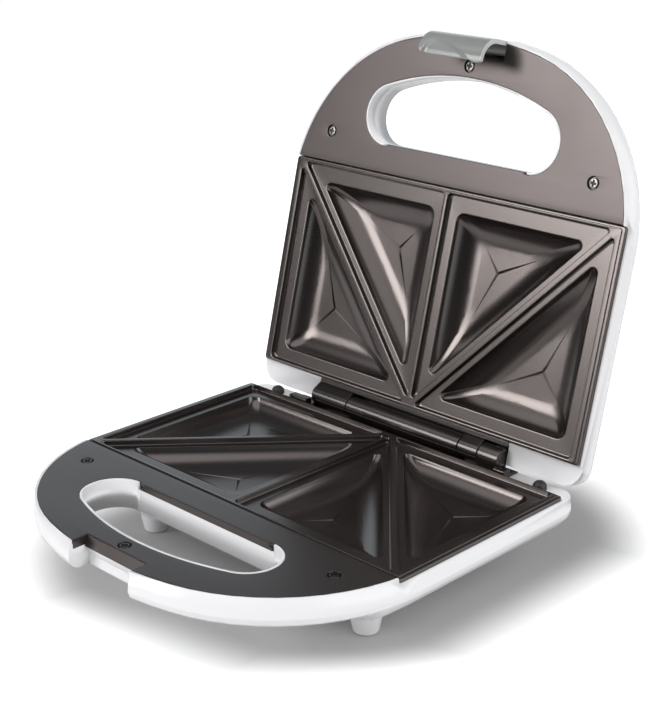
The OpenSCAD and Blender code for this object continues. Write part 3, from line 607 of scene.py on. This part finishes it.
def compartments():
    """The two compartments on the right: outline, pocket, index of the right-angled corner, creases."""
    comp_x, comp_front, comp_back = PLATE_W / 2 - SIDE_RIM, PLATE_FRONT + END_RIM, PLATE_D - BACK_RIM
    low, high = (comp_x, comp_front), (RIDGE_W / 2, comp_back)
    run = norm2(sub(high, low))
    along = tuple(c / run for c in sub(high, low))
    shift_x = DIAGONAL_RIDGE_W / 2 / abs(along[1])
    shift_y = DIAGONAL_RIDGE_W / 2 / abs(along[0])
    front = [(RIDGE_W / 2, comp_front), (comp_x - shift_x, comp_front), (RIDGE_W / 2, comp_back - shift_y)]
    back = [(comp_x, comp_front + shift_y), (comp_x, comp_back), (RIDGE_W / 2 + shift_x, comp_back)]
    return [
        (front, inset_tri(front, [FRONT_LAND, RIDGE_LAND, MIDDLE_LAND]), 0, FRONT_CREASES),
        (back, inset_tri(back, [SIDE_LAND, BACK_LAND, RIDGE_LAND]), 1, BACK_CREASES),
    ]


def is_inside(p, outline):
    """Whether a point lies in a convex outline that runs anticlockwise."""
    for a, b in zip(outline, outline[1:] + outline[:1]):
        if (b[0] - a[0]) * (p[1] - a[1]) - (b[1] - a[1]) * (p[0] - a[0]) < 0:
            return False
    return True


def inside_distance(p, tri, r):
    """How far inside the rounded triangle's edge a point is, by the inset outline that runs through it."""
    lo, hi = 0.0, tri_rho(tri) - max(r) - 0.01
    if is_inside(p, tri_pts(tri, hi, r, COARSE)):
        return hi
    for _ in range(HALVINGS):
        mid = (lo + hi) / 2
        if is_inside(p, tri_pts(tri, mid, r, COARSE)):
            lo = mid
        else:
            hi = mid
    return lo


def slope_z(d):
    """Height of a pocket's surface at an inset d from its edge."""
    s = max(0.0, min(1.0, d / SLOPE_RUN))
    return -LAND_DROP - (POCKET_DROP - LAND_DROP) * (2 * s - s * s) ** SLOPE_POWER


def dense(points, step):
    """The points of an outline, with more along its sides."""
    out = []
    for a, b in zip(points, points[1:] + points[:1]):
        n = max(1, round(norm2(sub(b, a)) / step))
        out += [(a[0] + (b[0] - a[0]) * k / n, a[1] + (b[1] - a[1]) * k / n) for k in range(n)]
    return out


def distance_to_segment(p, a, b):
    ab, ap = sub(b, a), sub(p, a)
    s = max(0.0, min(1.0, (ap[0] * ab[0] + ap[1] * ab[1]) / (ab[0] ** 2 + ab[1] ** 2)))
    return math.hypot(ap[0] - s * ab[0], ap[1] - s * ab[1])


def pocket_floor(bm, edge, tri, r, creases, flip):
    """Fills a pocket inside its last ring, with three tapering creases that meet in the middle."""
    centre, tips = creases
    points = [(v.co.x * flip, v.co.y) for v in edge]
    heights = [v.co.z for v in edge]
    count = len(points)
    edges = [(i, (i + 1) % count) for i in range(count)]

    def add(p, drop=0.0):
        points.append(p)
        heights.append(slope_z(inside_distance(p, tri, r)) - drop)
        return len(points) - 1

    for d in FLOOR_STEPS:
        for p in dense(tri_pts(tri, d, r, COARSE), FLOOR_SPACING):
            if min(distance_to_segment(p, centre, tip) for tip in tips) > CREASE_HALF + CREASE_ROOM:
                add(p)
    middle = add(centre, CREASE_DEPTH)
    shoulder = []
    for i in range(3):
        a, b = sub(tips[i], centre), sub(tips[(i + 1) % 3], centre)
        w = tuple(a[k] / norm2(a) + b[k] / norm2(b) for k in (0, 1))
        shoulder.append(add(tuple(centre[k] + w[k] / norm2(w) * CREASE_HALF for k in (0, 1))))
    for i in range(3):
        arm = sub(tips[i], centre)
        side = (-arm[1] / norm2(arm), arm[0] / norm2(arm))
        left, right, line = shoulder[i], shoulder[(i + 2) % 3], middle
        for j in range(1, CREASE_STEPS):
            t = j / CREASE_STEPS
            here = tuple(centre[k] + arm[k] * t for k in (0, 1))
            half = CREASE_HALF * (1 - t)
            new_line = add(here, CREASE_DEPTH * (1 - t))
            new_left = add(tuple(here[k] + side[k] * half for k in (0, 1)))
            new_right = add(tuple(here[k] - side[k] * half for k in (0, 1)))
            edges.extend([(line, new_line), (left, new_left), (right, new_right)])
            line, left, right = new_line, new_left, new_right
            # Points beside the crease keep the floor's shading level up to its edge
            for way in (1, -1):
                beside = tuple(here[k] + way * side[k] * (half + BESIDE_CREASE) for k in (0, 1))
                others = [distance_to_segment(beside, centre, tips[m]) for m in range(3) if m != i]
                if min(others) > CREASE_HALF + BESIDE_ROOM:
                    add(beside)
        tip = add(tips[i])
        edges.extend([(line, tip), (left, tip), (right, tip)])
    verts, _, faces, original, _, _ = geometry.delaunay_2d_cdt(
        [Vector(p) for p in points], edges, [list(range(count))], CDT_INSIDE, CDT_EPSILON
    )
    made = []
    for k, v in enumerate(verts):
        source = original[k][0] if original[k] else None
        if source is not None and source < count:
            made.append(edge[source])
        else:
            z = heights[source] if source is not None else slope_z(inside_distance((v.x, v.y), tri, r))
            made.append(bm.verts.new((v.x * flip, v.y, z)))
    for face in faces:
        if len(set(face)) == len(face):
            bm.faces.new([made[i] for i in face])


def rect_pts(x_in, y_in, r, n=4):
    """Rounded rectangle inside the plate's edge."""
    x, y0, y1 = PLATE_W / 2 - x_in, PLATE_FRONT + y_in, PLATE_D - y_in
    out = []
    for cx, cy, a0 in ((x - r, y1 - r, 0), (-x + r, y1 - r, 90), (-x + r, y0 + r, 180), (x - r, y0 + r, 270)):
        for j in range(n + 1):
            a = math.radians(a0 + 90 * j / n)
            out.append((cx + r * math.cos(a), cy + r * math.sin(a)))
    return out


def cooking_plate(bm):
    rings = [ring(bm, rect_pts(x_in, y_in, r), z) for x_in, y_in, r, z in PLATE_EDGE]
    stack(bm, rings, close_first=False, close_last=False)
    top_holes, low_holes = [], []
    for comp, pocket, square_at, creases in compartments():
        slope_r = radii(square_at, POCKET_R)
        slope = [(d, 0.0, min(slope_z(d), BELOW_BRIM)) for d in SLOPE_STEPS]
        for flip in (1, -1):
            def loops(tri, corner_r, levels):
                return [
                    ring(bm, [(x * flip, y) for x, y in tri_pts(tri, d, radii(square_at, corner_r, grow))], z)
                    for d, grow, z in levels
                ]
            levels = loops(comp, COMPARTMENT_R, COMPARTMENT_SIDE) + loops(pocket, POCKET_R, (*POCKET_BRIM, *slope))
            stack(bm, levels, close_first=False, close_last=False)
            top_holes.append(levels[0])
            pocket_floor(bm, levels[-1], pocket, slope_r, creases, flip)
            bowl = loops(pocket, POCKET_R, POCKET_BELOW)
            stack(bm, bowl, close_first=False)
            low_holes.append(bowl[0])
    cap_with_holes(bm, rings[-1], top_holes)
    cap_with_holes(bm, rings[0], low_holes)


# ---------------------------------------------------------------- handle covers

# The halves' outline: the bow of the handle, its end angle, and the shoulders that carry it to the straight sides
BOW_R, BOW_A, HANDLE_REACH, HALF_W = 174.0, 13.9, 77.8, 109.4
SIN_A, COS_A = math.sin(math.radians(BOW_A)), math.cos(math.radians(BOW_A))
SHOULDER_R = (HALF_W - BOW_R * SIN_A) / (1 - SIN_A)
BOW_CY = BOW_R - HANDLE_REACH
SHOULDER_X, SHOULDER_Y = (BOW_R - SHOULDER_R) * SIN_A, BOW_CY - (BOW_R - SHOULDER_R) * COS_A

COVER_INSET, COVER_T, COVER_BACK = 2.2, 2.0, -0.2
OPENING_W, OPENING_D, OPENING_BACK, OPENING_R = 123.0, 39.2, 15.2, 15.2
END_X, END_Y = OPENING_W / 2 - OPENING_R, -OPENING_BACK - OPENING_R
END_K = OPENING_D - OPENING_R
OPEN_BOW_R = (END_X ** 2 + END_K ** 2 - OPENING_R ** 2) / (2 * (END_K - OPENING_R))
OPEN_BOW_Y = -OPENING_BACK - OPENING_D + OPEN_BOW_R
END_A = math.degrees(math.atan2(END_Y - OPEN_BOW_Y, END_X))
# How much wider the cover's opening is than the casing's, and the run over which it meets the lip's flat side
COVER_GAP, LIP_RUN = 1.2, 3.6
LIP_HALF, LIP_T, LIP_LOW = 45.7, 1.6, -3.6
RECESS_HALF, RECESS_BACK = 20.5, -65.6
# Flange down the back of the latch recess: y from the recess's back, height
BACK_FLANGE = ((0.0, 0.0), (-0.25, -0.35), (-2.3, -5.3), (1.2, -5.3), (1.2, -COVER_T))
FLANGE_TOP, SIDE_FLANGE_FRONT, SIDE_FLANGE_T, SIDE_FLANGE_LOW = -0.36, -74.2, 0.9, -4.6
# Linings of the latch recess: where the lid's starts, its front, the top and the underside of its floor, and the
# top and the foot of the base's keeper strip
LINING_TOP, LINING_FRONT, LINING_FLOOR, LINING_LOW = -5.2, -73.4, -14.3, -14.9
KEEPER_TOP, KEEPER_LOW = -9.8, -14.5

# Rounding of the cover's edges: inset, height
COVER_EDGE = ((0, -COVER_T), (0, -0.35), (0.1, -0.1), (0.35, 0))

# Cover screws: where, then radii and heights of the well, the head and the dark disc of painted shade
# in its cross recess
SCREWS = [(-85.2, -16.4), (0.0, -61.2), (85.2, -16.4)]
SCREW_WELL = ((3.55, 0.0), (3.3, -0.12), (3.2, -0.35), (3.1, -1.3))
SCREW_HEAD = ((2.5, -1.25), (2.5, -0.6), (2.46, -0.4), (2.35, -0.27), (2.15, -0.2))
CROSS_SHADE_DISC = ((1.85, -0.89), (1.85, -0.8))
# The cross recess: reach and half width of its arms, its turn in degrees, and its scale at two heights
CROSS_ARM, CROSS_HALF, CROSS_TURN = 1.7, 0.6, 6
CROSS_LEVELS = ((1.0, -0.2), (0.96, -0.9))


def cover_outline(e):
    """Outline of a handle cover, moved inwards by e."""
    d = COVER_INSET + e
    shoulder = SHOULDER_R - d
    stop = math.degrees(math.asin((COVER_BACK - e - SHOULDER_Y) / shoulder))
    right = arc(SHOULDER_X, SHOULDER_Y, shoulder, BOW_A - 90, stop, 28, 1)
    notch = math.degrees(math.asin((RECESS_HALF + e) / (BOW_R - d)))
    front = arc(0, BOW_CY, BOW_R - d, notch - 90, BOW_A - 90, 8)
    half = [(RECESS_HALF + e, RECESS_BACK + e), *front, *right]
    return [(-x, y) for x, y in reversed(half)] + half


def opening_outline(e):
    """Outline of the hand opening in a cover, moved outwards by e, with the lip along its flat side."""
    r = OPENING_R + COVER_GAP + e
    lip = [
        (END_X - LIP_RUN * t, e - OPENING_BACK + COVER_GAP * (1 - smoothstep(t))) for t in (0.2, 0.4, 0.6, 0.8, 1.0)
    ]
    return (
        arc(END_X, END_Y, r, END_A, 90, 28) + lip + [(-x, y) for x, y in reversed(lip)]
        + arc(-END_X, END_Y, r, 90, 180 - END_A, 28)
        + arc(0, OPEN_BOW_Y, OPEN_BOW_R + COVER_GAP + e, 180 - END_A, 360 + END_A, 36, 1)[:-1]
    )


def handle_cover(bm):
    outer = [ring(bm, cover_outline(e), z) for e, z in COVER_EDGE]
    inner = [ring(bm, opening_outline(e), z) for e, z in COVER_EDGE]
    for rings in (outer, inner):
        stack(bm, rings, close_first=False, close_last=False)
    wells = [turned(bm, x, y, SCREW_WELL, close_first=False)[0] for x, y in SCREWS]
    cap_with_holes(bm, outer[-1], [inner[-1], *wells])
    cap_with_holes(bm, outer[0], [inner[0]])
    # Lip below the flat side of the opening, and flanges down the back and the sides of the latch recess
    add_box(bm, -LIP_HALF, LIP_HALF, -OPENING_BACK, LIP_T - OPENING_BACK, LIP_LOW, -COVER_T)
    flange = [(RECESS_BACK + y, min(z, FLANGE_TOP)) for y, z in BACK_FLANGE]
    add_prism(bm, *(section_at(bm, x, flange) for x in (0.05 - RECESS_HALF, RECESS_HALF - 0.05)))
    for side in (-1, 1):
        x0, x1 = sorted((side * (RECESS_HALF - 0.06), side * (RECESS_HALF + SIDE_FLANGE_T)))
        add_box(bm, x0, x1, SIDE_FLANGE_FRONT, RECESS_BACK + 0.2, SIDE_FLANGE_LOW, -COVER_T)


def lid_handle_cover(bm):
    """The lid's cover also lines the back and the floor of the recess behind the latch."""
    handle_cover(bm)
    half = RECESS_HALF - 0.1
    add_box(bm, -half, half, RECESS_BACK - 0.35, RECESS_BACK - 0.02, LINING_FLOOR, LINING_TOP)
    add_box(bm, -half, half, LINING_FRONT, RECESS_BACK - 0.02, LINING_LOW, LINING_FLOOR)


def latch_keeper(bm):
    """Strip in the base's latch recess, flush with the recess's wall."""
    half = RECESS_HALF - 0.7
    add_box(bm, -half, half, RECESS_BACK + 0.03, RECESS_BACK + 1.3, KEEPER_LOW, KEEPER_TOP)


def cross_outline(x, y, scale):
    """A cross round a point, turned by CROSS_TURN."""
    arm, half = CROSS_ARM * scale, CROSS_HALF * scale
    plus = [
        (arm, -half), (arm, half), (half, half), (half, arm), (-half, arm), (-half, half),
        (-arm, half), (-arm, -half), (-half, -half), (-half, -arm), (half, -arm), (half, -half),
    ]
    c, s = math.cos(math.radians(CROSS_TURN)), math.sin(math.radians(CROSS_TURN))
    return [(x + px * c - py * s, y + px * s + py * c) for px, py in plus]


def cross_screws(bm):
    """Three pan heads with a cross recess, sunk in the cover's wells."""
    for x, y in SCREWS:
        head = turned(bm, x, y, SCREW_HEAD, close_last=False)
        recess = [ring(bm, cross_outline(x, y, scale), z) for scale, z in CROSS_LEVELS]
        cap_with_holes(bm, head[-1], [recess[0]])
        stack(bm, recess, close_first=False)


def cross_recess_painted_shade(bm):
    """Dark discs at the floors of the cross recesses: painted shade, so that the crosses read black."""
    for x, y in SCREWS:
        turned(bm, x, y, CROSS_SHADE_DISC, 20)


# ---------------------------------------------------------------- latch

LATCH_HALF, LATCH_FACE, LATCH_T, LATCH_LOW, LATCH_MIDDLE = 19.9, -75.6, 2.2, -12.0, -6.0
HOOK_R, HOOK_REACH, HOOK_TIP_Y, HOOK_STEPS = 11.0, 18.0, -63.5, 22
LATCH_PIVOT, LATCH_BARREL_R, BARREL_END_R, BARREL_EASE = (-71.5, -5.5), 3.2, 2.9, 0.3
# How the hook's tip draws in at the left and the right end: run along x, depth
LEFT_RUN, LEFT_DRAW, RIGHT_RUN, RIGHT_DRAW = 4.5, 4.0, 1.5, 1.0
# Where the latch is sectioned: distances from its left end, steps between, distances from its right end
LEFT_STATIONS = (0.0, 0.1, 0.3, 0.6, 1.0, 1.5, 2.1, 2.8, 3.6, 4.5)
MIDDLE_STATIONS = 34
RIGHT_STATIONS = (1.1, 0.75, 0.45, 0.2, 0.06, 0.0)
# The finger scoop: its depth, then y of its upper edge at x = -SCOOP_TURN. From there the edge rises with the
# square of the way in x, by so much over so far: at the right, at the left.
SCOOP_DEPTH, SCOOP_TOP, SCOOP_TURN, SCOOP_RIGHT, SCOOP_LEFT = 0.8, -71.6, 12.0, (8.0, 24.0), (7.0, 5.5)
# The tip reaches further at the right, by TIP_GROWTH over TIP_RUN from TIP_FROM on
TIP_GROWTH, TIP_FROM, TIP_RUN = 0.9, 12.5, 3.0
# How far beyond the latch's right end the sheet with its painted highlight starts and ends
LATCH_HIGHLIGHT_FROM, LATCH_HIGHLIGHT_TO = 0.01, 0.3


def scoop_edge(x):
    """y of the finger scoop's crisp upper edge, which runs down to the tip at both ends."""
    (right_rise, right_run), (left_rise, left_run) = SCOOP_RIGHT, SCOOP_LEFT
    right = right_rise * (max(0.0, x + SCOOP_TURN) / right_run) ** 2
    left = left_rise * (max(0.0, -SCOOP_TURN - x) / left_run) ** 2
    return SCOOP_TOP + right + left


def latch_section(x):
    """Section of the latch at x, as points (y, z): up the outer face, over the hook and back inside."""
    left = max(0.0, (-x - (LATCH_HALF - LEFT_RUN)) / LEFT_RUN)
    right = max(0.0, (x - (LATCH_HALF - RIGHT_RUN)) / RIGHT_RUN)
    draw_in = (
        LEFT_DRAW * (1 - math.sqrt(max(0.0, 1 - left * left)))
        + RIGHT_DRAW * (1 - math.sqrt(max(0.0, 1 - right * right)))
    )
    cy, cz = LATCH_FACE + HOOK_R, HOOK_REACH - HOOK_R
    tip = HOOK_TIP_Y - draw_in * 0.9 + TIP_GROWTH * smoothstep((x - TIP_FROM) / TIP_RUN)
    outer = [(LATCH_FACE, LATCH_LOW + 0.5), (LATCH_FACE, LATCH_MIDDLE), (LATCH_FACE, 0.0)]
    outer += arc(cy, cz, HOOK_R, 180, 90, HOOK_STEPS)
    outer += [(cy + (tip - cy) * t, HOOK_REACH) for t in (0.35, 0.7)]
    shaped = []
    for y, z in outer:
        depth = SCOOP_DEPTH * smoothstep(y - scoop_edge(x))
        if z > cz:
            n = Vector((y - cy, z - cz)).normalized() if y < cy else Vector((0, 1))
            y, z = y - n.x * depth, z - n.y * depth
        shaped.append((min(y, tip - 0.25), z))
    end_z = shaped[-1][1]
    low = HOOK_REACH - LATCH_T
    shaped += [
        (tip - 0.2, end_z - 0.08), (tip, end_z - 0.45), (tip, low + 0.45),
        (tip - 0.2, low + 0.1), (tip - 0.6, low), (min(cy - 0.3, tip - 1.3), low),
    ]
    shaped += [(min(y, tip - 1.5), z) for y, z in arc(cy, cz, HOOK_R - LATCH_T, 92, 180, HOOK_STEPS)]
    inside = LATCH_FACE + LATCH_T
    shaped += [
        (inside, 0.0), (inside, LATCH_MIDDLE), (inside, LATCH_LOW + 0.5), (inside - 0.4, LATCH_LOW),
        (LATCH_FACE + 0.4, LATCH_LOW),
    ]
    return shaped


def latch_body(bm):
    middle_run = 2 * LATCH_HALF - (LEFT_RUN + RIGHT_RUN)
    xs = [-LATCH_HALF + t for t in LEFT_STATIONS]
    xs += [-LATCH_HALF + LEFT_RUN + middle_run * (i + 1) / MIDDLE_STATIONS for i in range(MIDDLE_STATIONS)]
    xs += [LATCH_HALF - t for t in RIGHT_STATIONS]
    stack(bm, [section_at(bm, x, latch_section(x)) for x in xs])
    stack(bm, [section_at(bm, x, circle(*LATCH_PIVOT, r, 32)) for x, r in (
        (-LATCH_HALF, BARREL_END_R), (-LATCH_HALF + BARREL_EASE, LATCH_BARREL_R),
        (LATCH_HALF - BARREL_EASE, LATCH_BARREL_R), (LATCH_HALF, BARREL_END_R),
    )])


def latch_end_painted_highlight(bm):
    """A painted highlight: a thin, lighter sheet over the latch's right end, for the light that its edge catches."""
    section = latch_section(LATCH_HALF)
    stack(bm, [section_at(bm, LATCH_HALF + out, section) for out in (LATCH_HIGHLIGHT_FROM, LATCH_HIGHLIGHT_TO)])


# ---------------------------------------------------------------- hinge

BARREL_R, AXIS_LOW, AXIS_HIGH = 5.2, (HINGE_Y, HINGE_RISE), (HINGE_Y, SHUT_GAP - HINGE_RISE)
MIDDLE_HALF, KNUCKLE_FROM, KNUCKLE_TO, EAR_FROM, EAR_TO = 38.4, 38.9, 51.2, 51.9, 64.6
BRACKET_FRONT, BRACKET_BACK, NOTCH_FLOOR = 118.0, 127.6, -11.0
PIN_RECESS_R, PIN_RECESS_DEPTH, EAR_R, SUPPORT_FRONT = 3.9, 1.0, 5.7, 122.4
# Floor, rear wall and front wall of the notch: front, back, top
NOTCH_WALLS = (
    (BRACKET_FRONT, BRACKET_BACK, -BARREL_R - 0.2),
    (BRACKET_BACK - 2.2, BRACKET_BACK, -3.5),
    (BRACKET_FRONT, BRACKET_FRONT + 1.2, -2.4),
)
# What carries the ear's eye and the knuckles, as points (y, z)
EAR_FOOT = ((119.3, -4.0), (118.6, -5.4), (118.6, NOTCH_FLOOR + 1), (127.5, NOTCH_FLOOR + 1), (127.5, -3.0))
KNUCKLE_FOOT = ((118.35, -1.3), (118.05, -1.9), (118.05, -9.0), (127.0, -9.0))
# Underside of what lies on the casing's deck: the wings beside the notch, and the lid's leaf before the barrel
ON_DECK = -3.45
# The wings' ends at the left and the right, their front, back and top, and the top of the low feet behind them
WING_ENDS, WING_FRONT, WING_BACK, WING_TOP, WING_FOOT_TOP = (-77.5, 72.0), 115.95, 121.0, 0.7, -2.8
# The leaf, with a strip down its back; the strip and the liners of the notch's ends have one top
LEAF_FRONT, STRIP_FRONT, LEAF_BACK, LEAF_TOP, LINER_TOP = 115.8, 117.68, 118.5, -2.5, -2.9
# Eased ends of a bar: share of the edge along x, share of it inwards
EASE = ((0, 1), (0.3, 0.3), (1, 0))


def extruded(bm, x0, x1, profile, edge=0.35, recess=None):
    """A bar along x with the given section, as points (y, z), with eased ends and room for a pin's head at x1."""
    cy, cz = (sum(p[k] for p in profile) / len(profile) for k in (0, 1))
    loops = []
    for x, e in (
        *((x0 + edge * along, edge * inwards) for along, inwards in EASE),
        *((x1 - edge * along, edge * inwards) for along, inwards in reversed(EASE)),
    ):
        scaled = []
        for y, z in profile:
            away = math.hypot(y - cy, z - cz)
            scaled.append((y - (y - cy) * e / away, z - (z - cz) * e / away))
        loops.append(section_at(bm, x, scaled))
    stack(bm, loops, close_last=not recess)
    if recess:
        hole = [section_at(bm, x, recess) for x in (x1, x1 - PIN_RECESS_DEPTH)]
        cap_with_holes(bm, loops[-1], [hole[0]])
        stack(bm, hole, close_first=False)


def box_section(y0, y1, z0, z1, r=0.4):
    out = []
    for cy, cz, a0 in ((y1 - r, z1 - r, 0), (y0 + r, z1 - r, 90), (y0 + r, z0 + r, 180), (y1 - r, z0 + r, 270)):
        out += arc(cy, cz, r, a0, a0 + 90, 3)
    return out


def base_bracket(bm):
    for y0, y1, z1 in NOTCH_WALLS:
        extruded(bm, -EAR_TO, EAR_TO, box_section(y0, y1, NOTCH_FLOOR, z1))
    # Middle barrel and its support
    extruded(bm, -MIDDLE_HALF, MIDDLE_HALF, circle(*AXIS_LOW, BARREL_R, 48))
    extruded(bm, -MIDDLE_HALF, MIDDLE_HALF, box_section(SUPPORT_FRONT, BRACKET_BACK, NOTCH_FLOOR, HINGE_RISE))
    # Ear at the right: a round eye on a foot; the left pin ends in the lid's long knuckle
    ear = [*arc(*AXIS_LOW, EAR_R, 0, 180, 24), *EAR_FOOT]
    ear = [(min(y, BRACKET_BACK - 0.05), z) for y, z in ear]
    extruded(bm, EAR_FROM, EAR_TO, ear, 0.5, recess=circle(*AXIS_LOW, PIN_RECESS_R, 40))
    # Wings on the rim beside the notch, with low feet behind them, and liners of the notch's ends
    for side, wing_end in zip((-1, 1), WING_ENDS):
        x0, x1 = sorted((side * (EAR_TO + 0.3), wing_end))
        extruded(bm, x0, x1, box_section(WING_FRONT, WING_BACK, ON_DECK, WING_TOP, 0.7), 0.6)
        extruded(bm, x0, x1, box_section(WING_FRONT, BRACKET_BACK, ON_DECK, WING_FOOT_TOP, 0.25), 0.25)
        x0, x1 = sorted((side * (EAR_TO + 0.32), side * (EAR_TO + 0.02)))
        extruded(bm, x0, x1, box_section(BRACKET_FRONT, BRACKET_BACK, NOTCH_FLOOR, LINER_TOP, 0.2), 0.05)


def lid_bracket(bm):
    plate_top = AXIS_HIGH[1] - BARREL_R - 0.8
    extruded(bm, -EAR_TO, EAR_TO, box_section(BRACKET_FRONT, BRACKET_BACK, NOTCH_FLOOR, plate_top))
    knuckle = [*arc(*AXIS_HIGH, BARREL_R, -50, 128, 36), *KNUCKLE_FOOT]
    extruded(bm, KNUCKLE_FROM, KNUCKLE_TO, knuckle)
    extruded(bm, -EAR_TO + 0.6, -KNUCKLE_FROM, knuckle)
    # Leaf between the plate and the barrel, over the casing's edge
    extruded(bm, -EAR_TO, EAR_TO, box_section(LEAF_FRONT, LEAF_BACK, ON_DECK, LEAF_TOP, 0.3), 0.3)
    extruded(bm, -EAR_TO, EAR_TO, box_section(STRIP_FRONT, LEAF_BACK, NOTCH_FLOOR, LINER_TOP, 0.2), 0.2)


# ---------------------------------------------------------------- buffers and feet

# Buffers on the deck behind the plate, as low domes
BUFFER_X, BUFFER_Y, BUFFER_R, BUFFER_LOW, BUFFER_SIDE, DOME_H = 90.6, 120.3, 3.5, -3.49, -2.3, 3.1
DOME_ANGLES = (12, 24, 36, 48, 60, 72, 82)

# Feet a little stouter than their cores, rounded where they meet the floor: where, then radii and heights
FEET = ((73.7, 16.2), (-73.7, 16.2), (62.0, 110.0), (-62.0, 110.0))
FOOT_SIDE = (
    (4.4, -44.72), (5.3, -44.7), (5.85, -44.45), (6.2, -43.95),
    (6.3, -43.4), (7.5, -37.0), (7.6, -35.5), (6.9, -35.2),
)


def rear_buffers(bm):
    levels = [(BUFFER_R, BUFFER_LOW), (BUFFER_R, BUFFER_SIDE)]
    for a in DOME_ANGLES:
        levels.append((BUFFER_R * math.cos(math.radians(a)), BUFFER_SIDE + DOME_H * math.sin(math.radians(a))))
    for side in (-1, 1):
        turned(bm, side * BUFFER_X, BUFFER_Y, levels, 40)


def foot_sleeves(bm):
    for x, y in FEET:
        turned(bm, x, y, FOOT_SIDE, 40)


# ---------------------------------------------------------------- the pieces

for (half, body), node in zip(HALVES, ("lower_plate", "upper_plate")):
    make_piece(node + "_finished", cooking_plate, half, body, [node], "plate_coating", sharp=24.0)

# The base's screws get the darker copy of the steel, a painted shade; the lid's get the steel itself
for (half, body), cover, finish in zip(
    HALVES, (handle_cover, lid_handle_cover), ("screw_steel_painted_shade", "screw_steel"),
):
    node = body + "_handle_cover"
    make_piece(node + "_finished", cover, half, body, [node], "cover_plastic", sharp=40)
    node = body + "_cover_screws"
    make_piece(node + "_finished", cross_screws, half, body, [node], "screw_steel", sharp=35, finish=finish)
    # Dark discs of painted shade at the floors of the cross recesses
    make_piece(
        body + "_screw_recess_painted_shade", cross_recess_painted_shade, half, body, [], "screw_steel", finish="gland_rubber"
    )
make_piece("latch_keeper", latch_keeper, LOWER, "base", [], "casing_plastic")

make_piece("latch_finished", latch_body, UPPER, "latch", ["latch"], "latch_plastic", sharp=42)
# A lighter sheet over the latch's right end: a painted highlight
make_piece("latch_end_painted_highlight", latch_end_painted_highlight, UPPER, "latch", [], "latch_plastic", sharp=42, finish="latch_painted_highlight")

for (half, body), bracket in zip(HALVES, (base_bracket, lid_bracket)):
    node = body + "_hinge_bracket"
    make_piece(node + "_finished", bracket, half, body, [node], "hinge_plastic", sharp=32)

make_piece("rear_buffers_finished", rear_buffers, LOWER, "base", ["rear_buffers"], "buffer_rubber", sharp=50)
make_piece("foot_sleeves", foot_sleeves, LOWER, "base", [], "casing_plastic", sharp=50)

for node, bevel in DRESSED.items():
    dressed(node, bevel)

for name, node in nodes.items():
    if not node.hide_render:
        node.data.materials.clear()
        node.data.materials.append(FINISH[slot_of[name]])

add_camera()
add_world()
add_floor()
for lamp in LAMPS:
    wide_lamp(*lamp)
